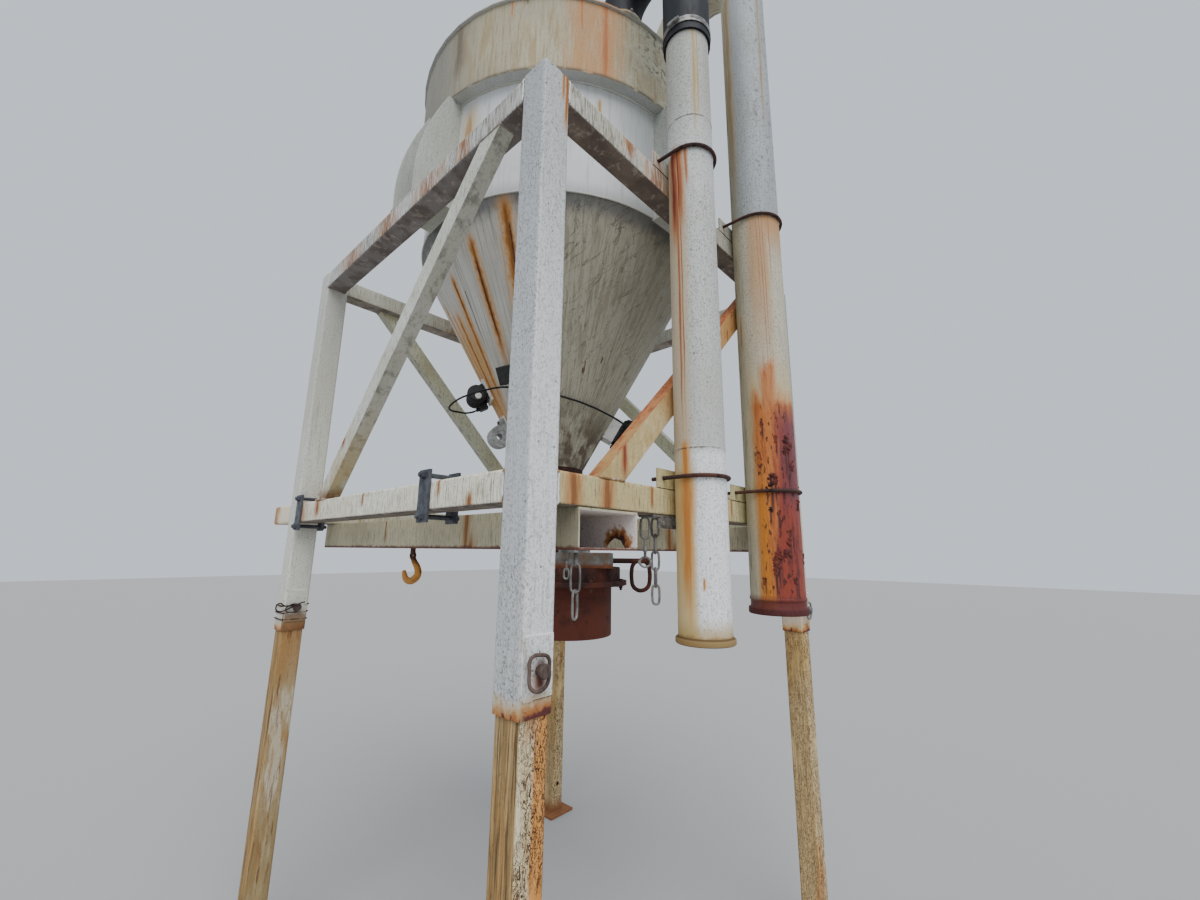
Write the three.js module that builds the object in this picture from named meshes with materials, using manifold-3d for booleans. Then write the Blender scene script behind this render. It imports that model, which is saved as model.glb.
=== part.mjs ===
// Bulk bag silo on a telescopic steel frame.
// Millimetres, +Z up. The origin is on the ground at the centre of the frame.
// The front, with the two pipes, faces -Y. The left side faces -X.
import * as THREE from 'three';
import { mergeVertices } from 'three/addons/utils/BufferGeometryUtils.js';
import Module from 'manifold-3d';

const wasm = await Module();
wasm.setup();

// Frame
const FRAME_SIDE = 1600;
const FRAME_TOP = 2760;
const SLEEVE_SIZE = 90;
const TUBE_SIZE = 80;
const TUBE_WALL = 4;
const CORNER_RADIUS = 8;
const SLEEVE_FOOT = 1170;
const INNER_LEG_TOP = 1600;
const RING_TOP = 1680;
const STUB_LENGTH = 208;
const FOOT_SIZE = 170;
const FOOT_THICKNESS = 12;

// Braces of flat-sided tube, and their distance from the leg at the upper and lower end
const BRACE_WIDTH = 70;
const BRACE_DEPTH = 50;
const BRACES = {
  left: { high: 147, low: 262 },
  back: { high: 226, low: 185 },
  right: { high: 193, low: 207 },
  front: { high: 208, low: 188 },
};

// Locking pins of the legs
const PIN_HEIGHT = 1260;
const LOW_HOLE_HEIGHT = 150;
const PIN_DIAMETER = 20;
const HOLE_DIAMETER = 20.8;
const PAD_HALF_WIDTH = 38;
const PAD_BOTTOM = 1205;
const PAD_TOP = 1325;
const PAD_THICKNESS = 5;
const PIN_PROUD = 22;
const PIN_PAST = 12;
const PIN_HEAD = { radius: 15, length: 14 };
const HANDLE_WIDTH = 66;
const HANDLE_HEIGHT = 84;
const HANDLE_BAR = 8;
const HANDLE_RISE = 34;

// Fork pockets
const POCKET_WIDTH = 225;
const POCKET_HEIGHT = 100;
const POCKET_WALL = 6;
const POCKET_OUTER_X = 645;

// Two flat bars bolted across the left ring beam, at two places
const CLAMP_WIDTH = 54;
const CLAMP_THICKNESS = 8;
const CLAMP_LOW = 1568;
const CLAMP_HIGH = 1712;
const CLAMP_BOLTS = [1584, 1697];
const CLAMP_PLACES = { front: -366, rear: 664 };

// Tank
const WALL_RADIUS = 635;
const BAND_RADIUS = 680;
const SHEET = 4;
const CONE_TOP = 2775;
const CONE_BOTTOM = 1850;
const CONE_BOTTOM_RADIUS = 130;
const BAND_BOTTOM = 3260;
const BAND_TOP = 3600;
const ROOF_THICKNESS = 6;
const ROOF_RADIUS = 690;
const HATCH_RADIUS = 225;
const HATCH_HEIGHT = 70;
const RIB_COUNT = 8;
const RIB_HEIGHT = 36;
const INLET_PLATE = 8;

// Support brackets at the middle of each top beam
const GUSSET_SPREAD = 75;
const GUSSET_THICKNESS = 8;
const BRACKET_REACH = 798;
const BRACKET_BASE = 8;

// Fittings on the cone: azimuth in degrees from +X, and height
const MOTOR_LEFT = { azimuth: 150, z: 2185 };
const BALL_VIBRATOR = { azimuth: 158, z: 2000 };
const LEVEL_BOX = { azimuth: -165, z: 2205 };
const MOTOR_RIGHT = { azimuth: -42, z: 2055 };

// Outlet under the cone
const OUTLET_X = 52;
const OUTLET_Y = -58;
const NECK_BOTTOM = 1490;
const GATE_BOTTOM = 1430;
const GATE_TURN = -47.7;
const GATE = { back: -235, front: 187, side: 190, corner: 28 };
const LEVER = { z: 1457, radius: 11, reach: 358, handleWidth: 94, handleHeight: 144, handleBar: 18 };
const COLLAR_RADIUS = 222;
const FLANGE_RADIUS = 250;
const FLANGE_TOP = 1376;
const FLANGE_BOTTOM = 1358;
const SPOUT_RADIUS = 185;
const SPOUT_BOTTOM = 1157;

// Filling and exhaust pipes
const PIPE_A = { x: -214, radius: 74.5, wall: 4, bottom: 1254, top: 3390, flange: 16, inletY: -570 };
const PIPE_B = { x: 253, radius: 91, wall: 4, bottom: 1295, top: 3950, flange: 21, inletY: -500 };
const FLANGE_REACH = 8;
const HOSE_BOTTOM = 3262;
const HOSE_TURN = 3660;
const HOSE_WALL = 7;
const HOSE_CLAMP = { bottom: 3290, width: 22, thickness: 3 };
const BOLT_ROD = 12;
const BOLT_CLEARANCE = 1.5;
const BOLT_LIFT = 28;
const CLEAT_THICKNESS = 6;
const CLEAT_HEIGHT = 56;
const CLEAT_MARGIN = 28;
const NUT = { radius: 11, height: 10 };

const CABLE_DIAMETER = 8;

const HALF = FRAME_SIDE / 2;
const LEG_CENTRE = HALF - SLEEVE_SIZE / 2;
const BEAM_HALF = HALF - SLEEVE_SIZE;
const BEAM_BOTTOM = FRAME_TOP - TUBE_SIZE;
const RING_BOTTOM = RING_TOP - TUBE_SIZE;
const POCKET_BOTTOM = RING_BOTTOM - POCKET_HEIGHT;
const ROOF_TOP = BAND_TOP + ROOF_THICKNESS;
const GAP = 0.3;
const BITE = 1.5;
const ROUND = 48;
const CORNER_STEPS = 1;
const DEGREE = Math.PI / 180;

const PAINT = { color: 0xd6d3c4, roughness: 0.7, metalness: 0.1 };
const CREAM = { color: 0xcdbf97, roughness: 0.7, metalness: 0.1 };
const RUSTY = { color: 0x5a2c1c, roughness: 0.9, metalness: 0.2 };
const WORN = { color: 0xb08a52, roughness: 0.85, metalness: 0.2 };
const STEEL = { color: 0x55555a, roughness: 0.5, metalness: 0.8 };
const RUBBER = { color: 0x1c1d21, roughness: 0.9, metalness: 0 };
const BLACK = { color: 0x17181b, roughness: 0.6, metalness: 0.3 };
const ZINC = { color: 0x9a9c9c, roughness: 0.5, metalness: 0.8 };

const silo = new THREE.Group();

function toSolid(geometry) {
  const bare = geometry.clone();
  bare.deleteAttribute('normal');
  bare.deleteAttribute('uv');
  const merged = mergeVertices(bare, 1e-3);
  return new wasm.Manifold(new wasm.Mesh({
    numProp: 3,
    vertProperties: new Float32Array(merged.attributes.position.array),
    triVerts: new Uint32Array(merged.index.array),
  }));
}

function fromSolid(solid) {
  const mesh = solid.getMesh();
  const geometry = new THREE.BufferGeometry();
  geometry.setAttribute('position', new THREE.BufferAttribute(mesh.vertProperties, 3));
  geometry.setIndex(new THREE.BufferAttribute(mesh.triVerts, 1));
  return geometry;
}

function join(...geometries) {
  return fromSolid(geometries.map(toSolid).reduce((all, next) => all.add(next)));
}

function cut(geometry, ...tools) {
  return fromSolid(tools.map(toSolid).reduce((body, tool) => body.subtract(tool), toSolid(geometry)));
}

function add(name, geometry, finish) {
  geometry.computeVertexNormals();
  const mesh = new THREE.Mesh(geometry, new THREE.MeshStandardMaterial(finish));
  mesh.name = name;
  silo.add(mesh);
  return mesh;
}

// A box given by its lowest and highest corners
function box(x0, y0, z0, x1, y1, z1) {
  const geometry = new THREE.BoxGeometry(x1 - x0, y1 - y0, z1 - z0);
  return geometry.translate((x0 + x1) / 2, (y0 + y1) / 2, (z0 + z1) / 2);
}

// A round bar or disc between two heights
function disc(x, y, z0, z1, radius, sides = ROUND) {
  const geometry = new THREE.CylinderGeometry(radius, radius, z1 - z0, sides);
  return geometry.rotateX(Math.PI / 2).translate(x, y, (z0 + z1) / 2);
}

// A round bar along Y
function barY(x, z, y0, y1, radius, sides = 12) {
  return new THREE.CylinderGeometry(radius, radius, y1 - y0, sides).translate(x, (y0 + y1) / 2, z);
}

// A round bar along X
function barX(y, z, x0, x1, radius, sides = 8) {
  const geometry = new THREE.CylinderGeometry(radius, radius, x1 - x0, sides).rotateZ(Math.PI / 2);
  return geometry.translate((x0 + x1) / 2, y, z);
}

// A turned shape from a closed profile of radius and height
function turned(profile, x = 0, y = 0, sides = ROUND) {
  const points = [...profile, profile[0]].map(([r, z]) => new THREE.Vector2(r, z));
  return new THREE.LatheGeometry(points, sides).rotateX(Math.PI / 2).translate(x, y, 0);
}

function roundedRectangle(x0, y0, x1, y1, radius) {
  const shape = new THREE.Shape();
  shape.moveTo(x0 + radius, y0);
  shape.lineTo(x1 - radius, y0);
  shape.absarc(x1 - radius, y0 + radius, radius, -Math.PI / 2, 0);
  shape.lineTo(x1, y1 - radius);
  shape.absarc(x1 - radius, y1 - radius, radius, 0, Math.PI / 2);
  shape.lineTo(x0 + radius, y1);
  shape.absarc(x0 + radius, y1 - radius, radius, Math.PI / 2, Math.PI);
  shape.lineTo(x0, y0 + radius);
  shape.absarc(x0 + radius, y0 + radius, radius, Math.PI, Math.PI * 1.5);
  return shape;
}

function roundedSquare(size, radius) {
  return roundedRectangle(-size / 2, -size / 2, size / 2, size / 2, radius);
}

// Square tube along Z, from z0 to z1, centred on the axis
function squareTube(size, wall, z0, z1) {
  const shape = roundedSquare(size, CORNER_RADIUS);
  shape.holes.push(roundedSquare(size - 2 * wall, CORNER_RADIUS - wall));
  const settings = { depth: z1 - z0, bevelEnabled: false, curveSegments: CORNER_STEPS };
  return new THREE.ExtrudeGeometry(shape, settings).translate(0, 0, z0);
}

function circle(radius) {
  const shape = new THREE.Shape();
  shape.absarc(0, 0, radius, 0, Math.PI * 2);
  return shape;
}

// A round bar that follows a curve
function bentBar(curve, radius, steps, sides = 8) {
  const settings = { steps, extrudePath: curve, curveSegments: sides / 2, bevelEnabled: false };
  return new THREE.ExtrudeGeometry(circle(radius), settings);
}

// A round tube that follows a curve
function bentTube(curve, outer, inner, steps, sides) {
  const shape = circle(outer);
  shape.holes.push(circle(inner));
  return new THREE.ExtrudeGeometry(shape, {
    steps, extrudePath: curve, curveSegments: sides / 2, bevelEnabled: false,
  });
}

// A link or ring of round bar that hangs down from its top
function link(width, length, bar, turn, x, y, top) {
  const ring = new THREE.TorusGeometry((width - bar) / 2, bar / 2, 6, 12).rotateZ(Math.PI / 12);
  const points = ring.attributes.position;
  for (let i = 0; i < points.count; i += 1) {
    points.setY(i, points.getY(i) + Math.sign(points.getY(i)) * (length - width) / 2);
  }
  return ring.rotateX(Math.PI / 2).rotateZ(turn).translate(x, y, top - length / 2);
}

// A chain whose links bear on each other, each turned a quarter from the last
function chain(count, width, length, bar, turn, x, y, top) {
  const pitch = length - 2 * bar + BITE;
  return Array.from({ length: count }, (_, i) => (
    link(width, length, bar, turn + (i % 2) * Math.PI / 2, x, y, top - i * pitch)
  ));
}

const LEGS = [
  { name: 'front_left', x: -1, y: -1 },
  { name: 'front_right', x: 1, y: -1 },
  { name: 'back_left', x: -1, y: 1 },
  { name: 'back_right', x: 1, y: 1 },
];

// Stub of the left ring beam, welded behind the rear left leg
const stub = squareTube(TUBE_SIZE, TUBE_WALL, -1, STUB_LENGTH)
  .rotateX(-Math.PI / 2)
  .translate(-(HALF - TUBE_SIZE / 2), HALF, RING_BOTTOM + TUBE_SIZE / 2);

// Legs: a sleeve with a pad round the pin hole, the inner leg that slides in it, and its foot
for (const leg of LEGS) {
  const x = leg.x * LEG_CENTRE;
  const y = leg.y * LEG_CENTRE;
  const face = y - SLEEVE_SIZE / 2;
  const sleeveTube = squareTube(SLEEVE_SIZE, TUBE_WALL, SLEEVE_FOOT, FRAME_TOP - TUBE_WALL);
  const capShape = roundedSquare(SLEEVE_SIZE, CORNER_RADIUS);
  const capSettings = { depth: TUBE_WALL + 1, bevelEnabled: false, curveSegments: CORNER_STEPS };
  const cap = new THREE.ExtrudeGeometry(capShape, capSettings);
  const pad = box(
    x - PAD_HALF_WIDTH, face - PAD_THICKNESS, PAD_BOTTOM,
    x + PAD_HALF_WIDTH, face + 1, PAD_TOP,
  );
  const sleeve = join(
    sleeveTube.translate(x, y, 0),
    cap.translate(x, y, FRAME_TOP - TUBE_WALL - 1),
    pad,
    ...(leg.name === 'back_left' ? [stub] : []),
  );
  const hole = (z) => barY(x, z, y - SLEEVE_SIZE, y + SLEEVE_SIZE, HOLE_DIAMETER / 2);
  add(`leg_sleeve_${leg.name}`, cut(sleeve, hole(PIN_HEIGHT)), PAINT);
  const f = FOOT_SIZE / 2;
  const innerLeg = join(
    squareTube(TUBE_SIZE, TUBE_WALL, FOOT_THICKNESS - 1, INNER_LEG_TOP).translate(x, y, 0),
    box(x - f, y - f, 0, x + f, y + f, FOOT_THICKNESS),
  );
  add(`inner_leg_${leg.name}`, cut(innerLeg, hole(PIN_HEIGHT), hole(LOW_HOLE_HEIGHT)), WORN);
}

// Locking pins with a D handle in front of the pad
for (const leg of LEGS) {
  const x = leg.x * LEG_CENTRE;
  const face = leg.y * LEG_CENTRE - SLEEVE_SIZE / 2 - PAD_THICKNESS;
  const front = face - PIN_PROUD;
  const w = HANDLE_WIDTH / 2 - HANDLE_BAR / 2;
  const top = PIN_HEIGHT + HANDLE_RISE;
  const low = top - HANDLE_HEIGHT + w;
  const barPlane = front + HANDLE_BAR;
  const points = [new THREE.Vector3(x - w, barPlane, top), new THREE.Vector3(x - w, barPlane, low)];
  for (let i = 1; i < 12; i += 1) {
    const a = Math.PI + (Math.PI * i) / 12;
    points.push(new THREE.Vector3(x + w * Math.cos(a), barPlane, low + w * Math.sin(a)));
  }
  points.push(new THREE.Vector3(x + w, barPlane, low), new THREE.Vector3(x + w, barPlane, top));
  const bow = new THREE.CatmullRomCurve3(points, false, 'centripetal');
  add(`leg_pin_${leg.name}`, join(
    barY(x, PIN_HEIGHT, front, face + PAD_THICKNESS + SLEEVE_SIZE + PIN_PAST, PIN_DIAMETER / 2),
    barY(x, PIN_HEIGHT, front, front + PIN_HEAD.length, PIN_HEAD.radius),
    bentBar(bow, HANDLE_BAR / 2, 14, 6),
    barX(barPlane, top - 2, x - w - 1, x + w + 1, HANDLE_BAR / 2),
    box(x - 6, barPlane - 4, PIN_HEIGHT, x + 6, barPlane + 4, top - 2),
  ), STEEL);
}

// Top beams between the sleeves, flush with their outer faces
const SIDES = [
  { name: 'front', turn: 0 },
  { name: 'right', turn: Math.PI / 2 },
  { name: 'back', turn: Math.PI },
  { name: 'left', turn: -Math.PI / 2 },
];

function levelTube(length, z) {
  const tube = squareTube(TUBE_SIZE, TUBE_WALL, 0, length);
  return tube.rotateY(Math.PI / 2).translate(-length / 2, -(HALF - TUBE_SIZE / 2), z);
}

// Upright cleats on the front beams, with two holes for each U-bolt
const cleatReach = (pipe) => pipe.radius + BOLT_CLEARANCE + BOLT_ROD / 2;
function withCleats(beam, top) {
  const plates = [PIPE_A, PIPE_B].map((pipe) => box(
    pipe.x - cleatReach(pipe) - CLEAT_MARGIN, -HALF, top - 1,
    pipe.x + cleatReach(pipe) + CLEAT_MARGIN, -HALF + CLEAT_THICKNESS, top + CLEAT_HEIGHT,
  ));
  const holes = [PIPE_A, PIPE_B].flatMap((pipe) => [-1, 1].map((side) => barY(
    pipe.x + side * cleatReach(pipe), top + BOLT_LIFT,
    -HALF - 5, -HALF + CLEAT_THICKNESS + 5, BOLT_ROD / 2 + 0.6, 8,
  )));
  return cut(join(beam, ...plates), ...holes);
}

for (const side of SIDES) {
  const topBeam = levelTube(2 * BEAM_HALF, BEAM_BOTTOM + TUBE_SIZE / 2);
  const ringBeam = levelTube(2 * BEAM_HALF, RING_BOTTOM + TUBE_SIZE / 2);
  const front = side.name === 'front';
  const top = front ? withCleats(topBeam, FRAME_TOP) : topBeam;
  const ring = front ? withCleats(ringBeam, RING_TOP) : ringBeam;
  add(`top_beam_${side.name}`, top.rotateZ(side.turn), PAINT);
  add(`ring_beam_${side.name}`, ring.rotateZ(side.turn), PAINT);
}

// Braces: a tube cut level at both ends, high at one leg and low at the next, flush outside
function braceTube(high, low) {
  const rise = BEAM_BOTTOM - RING_TOP;
  const run = 2 * BEAM_HALF - high - low;
  const tilt = Math.atan2(rise, run);
  const half = BRACE_WIDTH / Math.sin(tilt) / 2;
  const wallHalf = half - TUBE_WALL / Math.sin(tilt);
  const lowX = -BEAM_HALF + low;
  const slope = run / rise;
  const outline = (h, reach) => {
    const shape = new THREE.Shape();
    shape.moveTo(lowX - h - slope * reach, RING_TOP - reach);
    shape.lineTo(lowX + h - slope * reach, RING_TOP - reach);
    shape.lineTo(lowX + run + h + slope * reach, BEAM_BOTTOM + reach);
    shape.lineTo(lowX + run - h + slope * reach, BEAM_BOTTOM + reach);
    shape.closePath();
    return shape;
  };
  const place = (shape, depth, y) => new THREE.ExtrudeGeometry(shape, { depth, bevelEnabled: false })
    .rotateX(Math.PI / 2)
    .translate(0, y + depth, 0);
  const outer = place(outline(half, 0), BRACE_DEPTH, -HALF);
  const inner = place(outline(wallHalf, 5), BRACE_DEPTH - 2 * TUBE_WALL, -HALF + TUBE_WALL);
  return cut(outer, inner);
}

for (const side of SIDES) {
  const { high, low } = BRACES[side.name];
  add(`brace_${side.name}`, braceTube(high, low).rotateZ(side.turn), PAINT);
}

// Fork pockets, from front to back under the ring beams
function pocket(side) {
  const x0 = side < 0 ? -POCKET_OUTER_X : POCKET_OUTER_X - POCKET_WIDTH;
  const x1 = x0 + POCKET_WIDTH;
  const outer = box(x0, -HALF, POCKET_BOTTOM, x1, HALF, RING_BOTTOM);
  const w = POCKET_WALL;
  const inner = box(x0 + w, -HALF - 1, POCKET_BOTTOM + w, x1 - w, HALF + 1, RING_BOTTOM - w);
  if (side > 0) {
    return cut(outer, inner);
  }
  // Rusted through low in the inner wall, near the front
  const hole = new THREE.Shape();
  hole.moveTo(-764, 1502);
  hole.lineTo(-746, 1527);
  hole.lineTo(-722, 1534);
  hole.lineTo(-703, 1522);
  hole.lineTo(-692, 1508);
  hole.lineTo(-700, 1502);
  const rust = new THREE.ExtrudeGeometry(hole, { depth: 2 * w, bevelEnabled: false })
    .rotateX(Math.PI / 2)
    .rotateZ(Math.PI / 2)
    .translate(x1 - 1.5 * w, 0, 0);
  return cut(outer, inner, rust);
}
add('fork_pocket_left', pocket(-1), PAINT);
add('fork_pocket_right', pocket(1), PAINT);

// Tank wall, the wider band above it, the cone and the roof
add('tank_wall', turned([
  [WALL_RADIUS - SHEET, CONE_TOP], [WALL_RADIUS, CONE_TOP],
  [WALL_RADIUS, BAND_BOTTOM], [WALL_RADIUS - SHEET, BAND_BOTTOM],
]), PAINT);
add('tank_band', turned([
  [WALL_RADIUS - SHEET, BAND_BOTTOM], [BAND_RADIUS, BAND_BOTTOM], [BAND_RADIUS, BAND_TOP],
  [BAND_RADIUS - SHEET, BAND_TOP], [BAND_RADIUS - SHEET, BAND_BOTTOM + SHEET],
  [WALL_RADIUS - SHEET, BAND_BOTTOM + SHEET],
]), CREAM);
const coneSlope = (WALL_RADIUS - CONE_BOTTOM_RADIUS) / (CONE_TOP - CONE_BOTTOM);
const coneSheet = SHEET * Math.sqrt(1 + coneSlope * coneSlope);

// Seats a fitting on the cone: its +X then points out of the sheet and its +Z up the slope
function onCone(geometry, { azimuth, z }) {
  const radius = CONE_BOTTOM_RADIUS + (z - CONE_BOTTOM) * coneSlope;
  return geometry.rotateY(Math.atan(coneSlope)).translate(radius, 0, z).rotateZ(azimuth * DEGREE);
}

function frustum(inset, past) {
  const top = WALL_RADIUS - inset + past * coneSlope;
  const bottom = CONE_BOTTOM_RADIUS - inset - past * coneSlope;
  const height = CONE_TOP - CONE_BOTTOM + 2 * past;
  return new THREE.CylinderGeometry(top, bottom, height, ROUND)
    .rotateX(Math.PI / 2)
    .translate(0, 0, (CONE_TOP + CONE_BOTTOM) / 2);
}

// The cone carries mounting plates for its motors and vibrator, and a stand for the right motor
const PLATE_ROOT = -8;
const PLATE_FACE = 10;
const BALL_PLATE_FACE = 6;
const STAND_FACE = 48;
add('cone', cut(join(
  frustum(0, 0),
  onCone(box(PLATE_ROOT, -55, -50, PLATE_FACE, 55, 50), MOTOR_LEFT),
  onCone(box(PLATE_ROOT, -36, -78, BALL_PLATE_FACE, 36, 78), BALL_VIBRATOR),
  onCone(box(PLATE_ROOT, -40, -56, STAND_FACE, 40, 56), MOTOR_RIGHT),
), frustum(coneSheet, 1)), PAINT);

// Roof: a flat plate with the hatch ring, the two inlet flanges and the stiffening ribs welded on.
// The ribs near an inlet are left out.
const INLETS = [
  { x: PIPE_A.x, y: PIPE_A.inletY, radius: PIPE_A.radius, flange: 14, collar: 40 },
  { x: PIPE_B.x, y: PIPE_B.inletY, radius: PIPE_B.radius, flange: 22, collar: 0 },
];
const RIB_TURN = Math.PI / RIB_COUNT;

function roofRibs() {
  const ribs = [];
  for (let i = 0; i < RIB_COUNT; i += 1) {
    const angle = RIB_TURN + (i * 2 * Math.PI) / RIB_COUNT;
    const along = new THREE.Vector2(Math.cos(angle), Math.sin(angle));
    const clear = INLETS.every((inlet) => {
      const centre = new THREE.Vector2(inlet.x, inlet.y);
      return centre.dot(along) < 0 || Math.abs(centre.cross(along)) > inlet.radius + 40;
    });
    if (clear) {
      const rib = box(HATCH_RADIUS - 4, -4, ROOF_TOP - 1, ROOF_RADIUS - 40, 4, ROOF_TOP + RIB_HEIGHT);
      ribs.push(rib.rotateZ(angle));
    }
  }
  return ribs;
}

const roofHoles = INLETS.map((inlet) => (
  disc(inlet.x, inlet.y, BAND_TOP - 1, ROOF_TOP + 100, inlet.radius - SHEET, 28)
));
roofHoles.push(disc(0, 0, BAND_TOP - 1, ROOF_TOP + 100, HATCH_RADIUS - 10));
add('roof', cut(join(
  disc(0, 0, BAND_TOP, ROOF_TOP, ROOF_RADIUS),
  disc(0, 0, ROOF_TOP - 1, ROOF_TOP + HATCH_HEIGHT, HATCH_RADIUS),
  ...INLETS.map((inlet) => (
    disc(inlet.x, inlet.y, ROOF_TOP - 1, ROOF_TOP + INLET_PLATE, inlet.radius + inlet.flange, 28)
  )),
  disc(INLETS[0].x, INLETS[0].y, ROOF_TOP, ROOF_TOP + INLETS[0].collar, INLETS[0].radius, 28),
  ...roofRibs(),
), ...roofHoles), CREAM);

add('roof_hatch_lid', turned([
  [0, ROOF_TOP + HATCH_HEIGHT], [HATCH_RADIUS + 18, ROOF_TOP + HATCH_HEIGHT],
  [HATCH_RADIUS + 18, ROOF_TOP + HATCH_HEIGHT + 10], [0, ROOF_TOP + HATCH_HEIGHT + 36],
], 0, 0, 32), CREAM);

// Brackets that carry the tank on the top beams: two flared gussets on a base plate
function gusset(y) {
  const shape = new THREE.Shape();
  shape.moveTo(WALL_RADIUS - 30, FRAME_TOP + BRACKET_BASE);
  shape.lineTo(BRACKET_REACH, FRAME_TOP + BRACKET_BASE);
  shape.lineTo(BRACKET_REACH, 2850);
  shape.quadraticCurveTo(796, 3027, 690, BAND_BOTTOM - GAP);
  shape.lineTo(WALL_RADIUS - 30, BAND_BOTTOM - GAP);
  shape.closePath();
  const settings = { depth: GUSSET_THICKNESS, bevelEnabled: false, curveSegments: 8 };
  return new THREE.ExtrudeGeometry(shape, settings)
    .rotateX(Math.PI / 2)
    .translate(0, y + GUSSET_THICKNESS / 2, 0);
}
const wallCore = disc(0, 0, FRAME_TOP - 10, BAND_BOTTOM + 10, WALL_RADIUS + GAP);
for (const side of SIDES) {
  const base = box(
    WALL_RADIUS - 30, -GUSSET_SPREAD - 20, FRAME_TOP,
    BRACKET_REACH, GUSSET_SPREAD + 20, FRAME_TOP + BRACKET_BASE + 0.01,
  );
  const bracket = cut(join(gusset(-GUSSET_SPREAD), gusset(GUSSET_SPREAD), base), wallCore);
  add(`tank_bracket_${side.name}`, bracket.rotateZ(side.turn - Math.PI / 2), PAINT);
}

// Outlet: neck, gate housing, flanged collar and spout
add('outlet_neck', turned([
  [CONE_BOTTOM_RADIUS - SHEET, NECK_BOTTOM], [CONE_BOTTOM_RADIUS, NECK_BOTTOM],
  [CONE_BOTTOM_RADIUS, CONE_BOTTOM], [CONE_BOTTOM_RADIUS - SHEET, CONE_BOTTOM],
], 0, 0, 32), PAINT);

// The gate's housing lies across the front left corner, and its blade is pulled out to the front right
function onGate(geometry) {
  return geometry.rotateZ(GATE_TURN * DEGREE).translate(OUTLET_X, OUTLET_Y, 0);
}
const gateOutline = roundedRectangle(GATE.back, -GATE.side, GATE.front, GATE.side, GATE.corner);
const gate = onGate(new THREE.ExtrudeGeometry(gateOutline, {
  depth: NECK_BOTTOM - GATE_BOTTOM, bevelEnabled: false, curveSegments: 3,
}).translate(0, 0, GATE_BOTTOM));
const gateBore = disc(0, 0, GATE_BOTTOM - 1, NECK_BOTTOM + 1, CONE_BOTTOM_RADIUS - SHEET, 32);
add('gate_housing', cut(gate, gateBore), STEEL);
const handleMiddle = LEVER.reach - LEVER.handleWidth / 2;
add('gate_lever', onGate(join(
  barX(0, LEVER.z, GATE.front + GAP, LEVER.reach, LEVER.radius, 12),
  link(LEVER.handleWidth, LEVER.handleHeight, LEVER.handleBar, 0, handleMiddle, 0, LEVER.z + LEVER.radius),
)), RUSTY);
add('outlet_collar', turned([
  [SPOUT_RADIUS - SHEET, FLANGE_BOTTOM], [FLANGE_RADIUS, FLANGE_BOTTOM], [FLANGE_RADIUS, FLANGE_TOP],
  [COLLAR_RADIUS, FLANGE_TOP], [COLLAR_RADIUS, GATE_BOTTOM], [SPOUT_RADIUS - SHEET, GATE_BOTTOM],
], OUTLET_X, OUTLET_Y, 40), RUSTY);
add('outlet_spout', turned([
  [SPOUT_RADIUS - SHEET, SPOUT_BOTTOM], [SPOUT_RADIUS, SPOUT_BOTTOM],
  [SPOUT_RADIUS, FLANGE_BOTTOM], [SPOUT_RADIUS - SHEET, FLANGE_BOTTOM],
], OUTLET_X, OUTLET_Y, 40), RUSTY);

// The two pipes, each with a flange at its foot
const pipeY = (pipe) => -HALF - pipe.radius - GAP;
for (const [name, pipe] of [['pipe_a', PIPE_A], ['pipe_b', PIPE_B]]) {
  const { x, radius, wall, bottom, top, flange } = pipe;
  add(name, turned([
    [radius - wall, bottom], [radius + FLANGE_REACH, bottom], [radius + FLANGE_REACH, bottom + flange],
    [radius, bottom + flange], [radius, top], [radius - wall, top],
  ], x, pipeY(pipe), 24), PAINT);
}

// A bend over the tank's rim: up, half a turn, and down to the inlet
class OverBend extends THREE.Curve {
  constructor(x, yOut, yIn, zStart, zTurn, zEnd) {
    super();
    this.x = x;
    this.yOut = yOut;
    this.radius = (yIn - yOut) / 2;
    this.zStart = zStart;
    this.zTurn = zTurn;
    this.zEnd = zEnd;
    this.up = zTurn - zStart;
    this.arc = Math.PI * this.radius;
    this.down = zTurn - zEnd;
  }

  getPoint(t) {
    const s = t * (this.up + this.arc + this.down);
    if (s <= this.up) {
      return new THREE.Vector3(this.x, this.yOut, this.zStart + s);
    }
    if (s <= this.up + this.arc) {
      const a = (s - this.up) / this.radius;
      const y = this.yOut + this.radius * (1 - Math.cos(a));
      return new THREE.Vector3(this.x, y, this.zTurn + this.radius * Math.sin(a));
    }
    const left = s - this.up - this.arc;
    return new THREE.Vector3(this.x, this.yOut + 2 * this.radius, this.zTurn - left);
  }
}

const HOSE_SIDES = 16;
const HOSE_INNER = (PIPE_A.radius + GAP) / Math.cos(Math.PI / HOSE_SIDES);
const bendFoot = ROOF_TOP + INLET_PLATE;
const hoseLine = new OverBend(PIPE_A.x, pipeY(PIPE_A), PIPE_A.inletY, HOSE_BOTTOM, HOSE_TURN, bendFoot);
add('pipe_a_hose', bentTube(hoseLine, HOSE_INNER + HOSE_WALL, HOSE_INNER, 18, HOSE_SIDES), RUBBER);
const STEEL_RISE = 20;
const steelTurn = PIPE_B.top + STEEL_RISE;
const steelLine = new OverBend(PIPE_B.x, pipeY(PIPE_B), PIPE_B.inletY, PIPE_B.top, steelTurn, bendFoot);
add('pipe_b_bend', bentTube(steelLine, PIPE_B.radius, PIPE_B.radius - PIPE_B.wall, 18, 16), PAINT);
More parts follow.
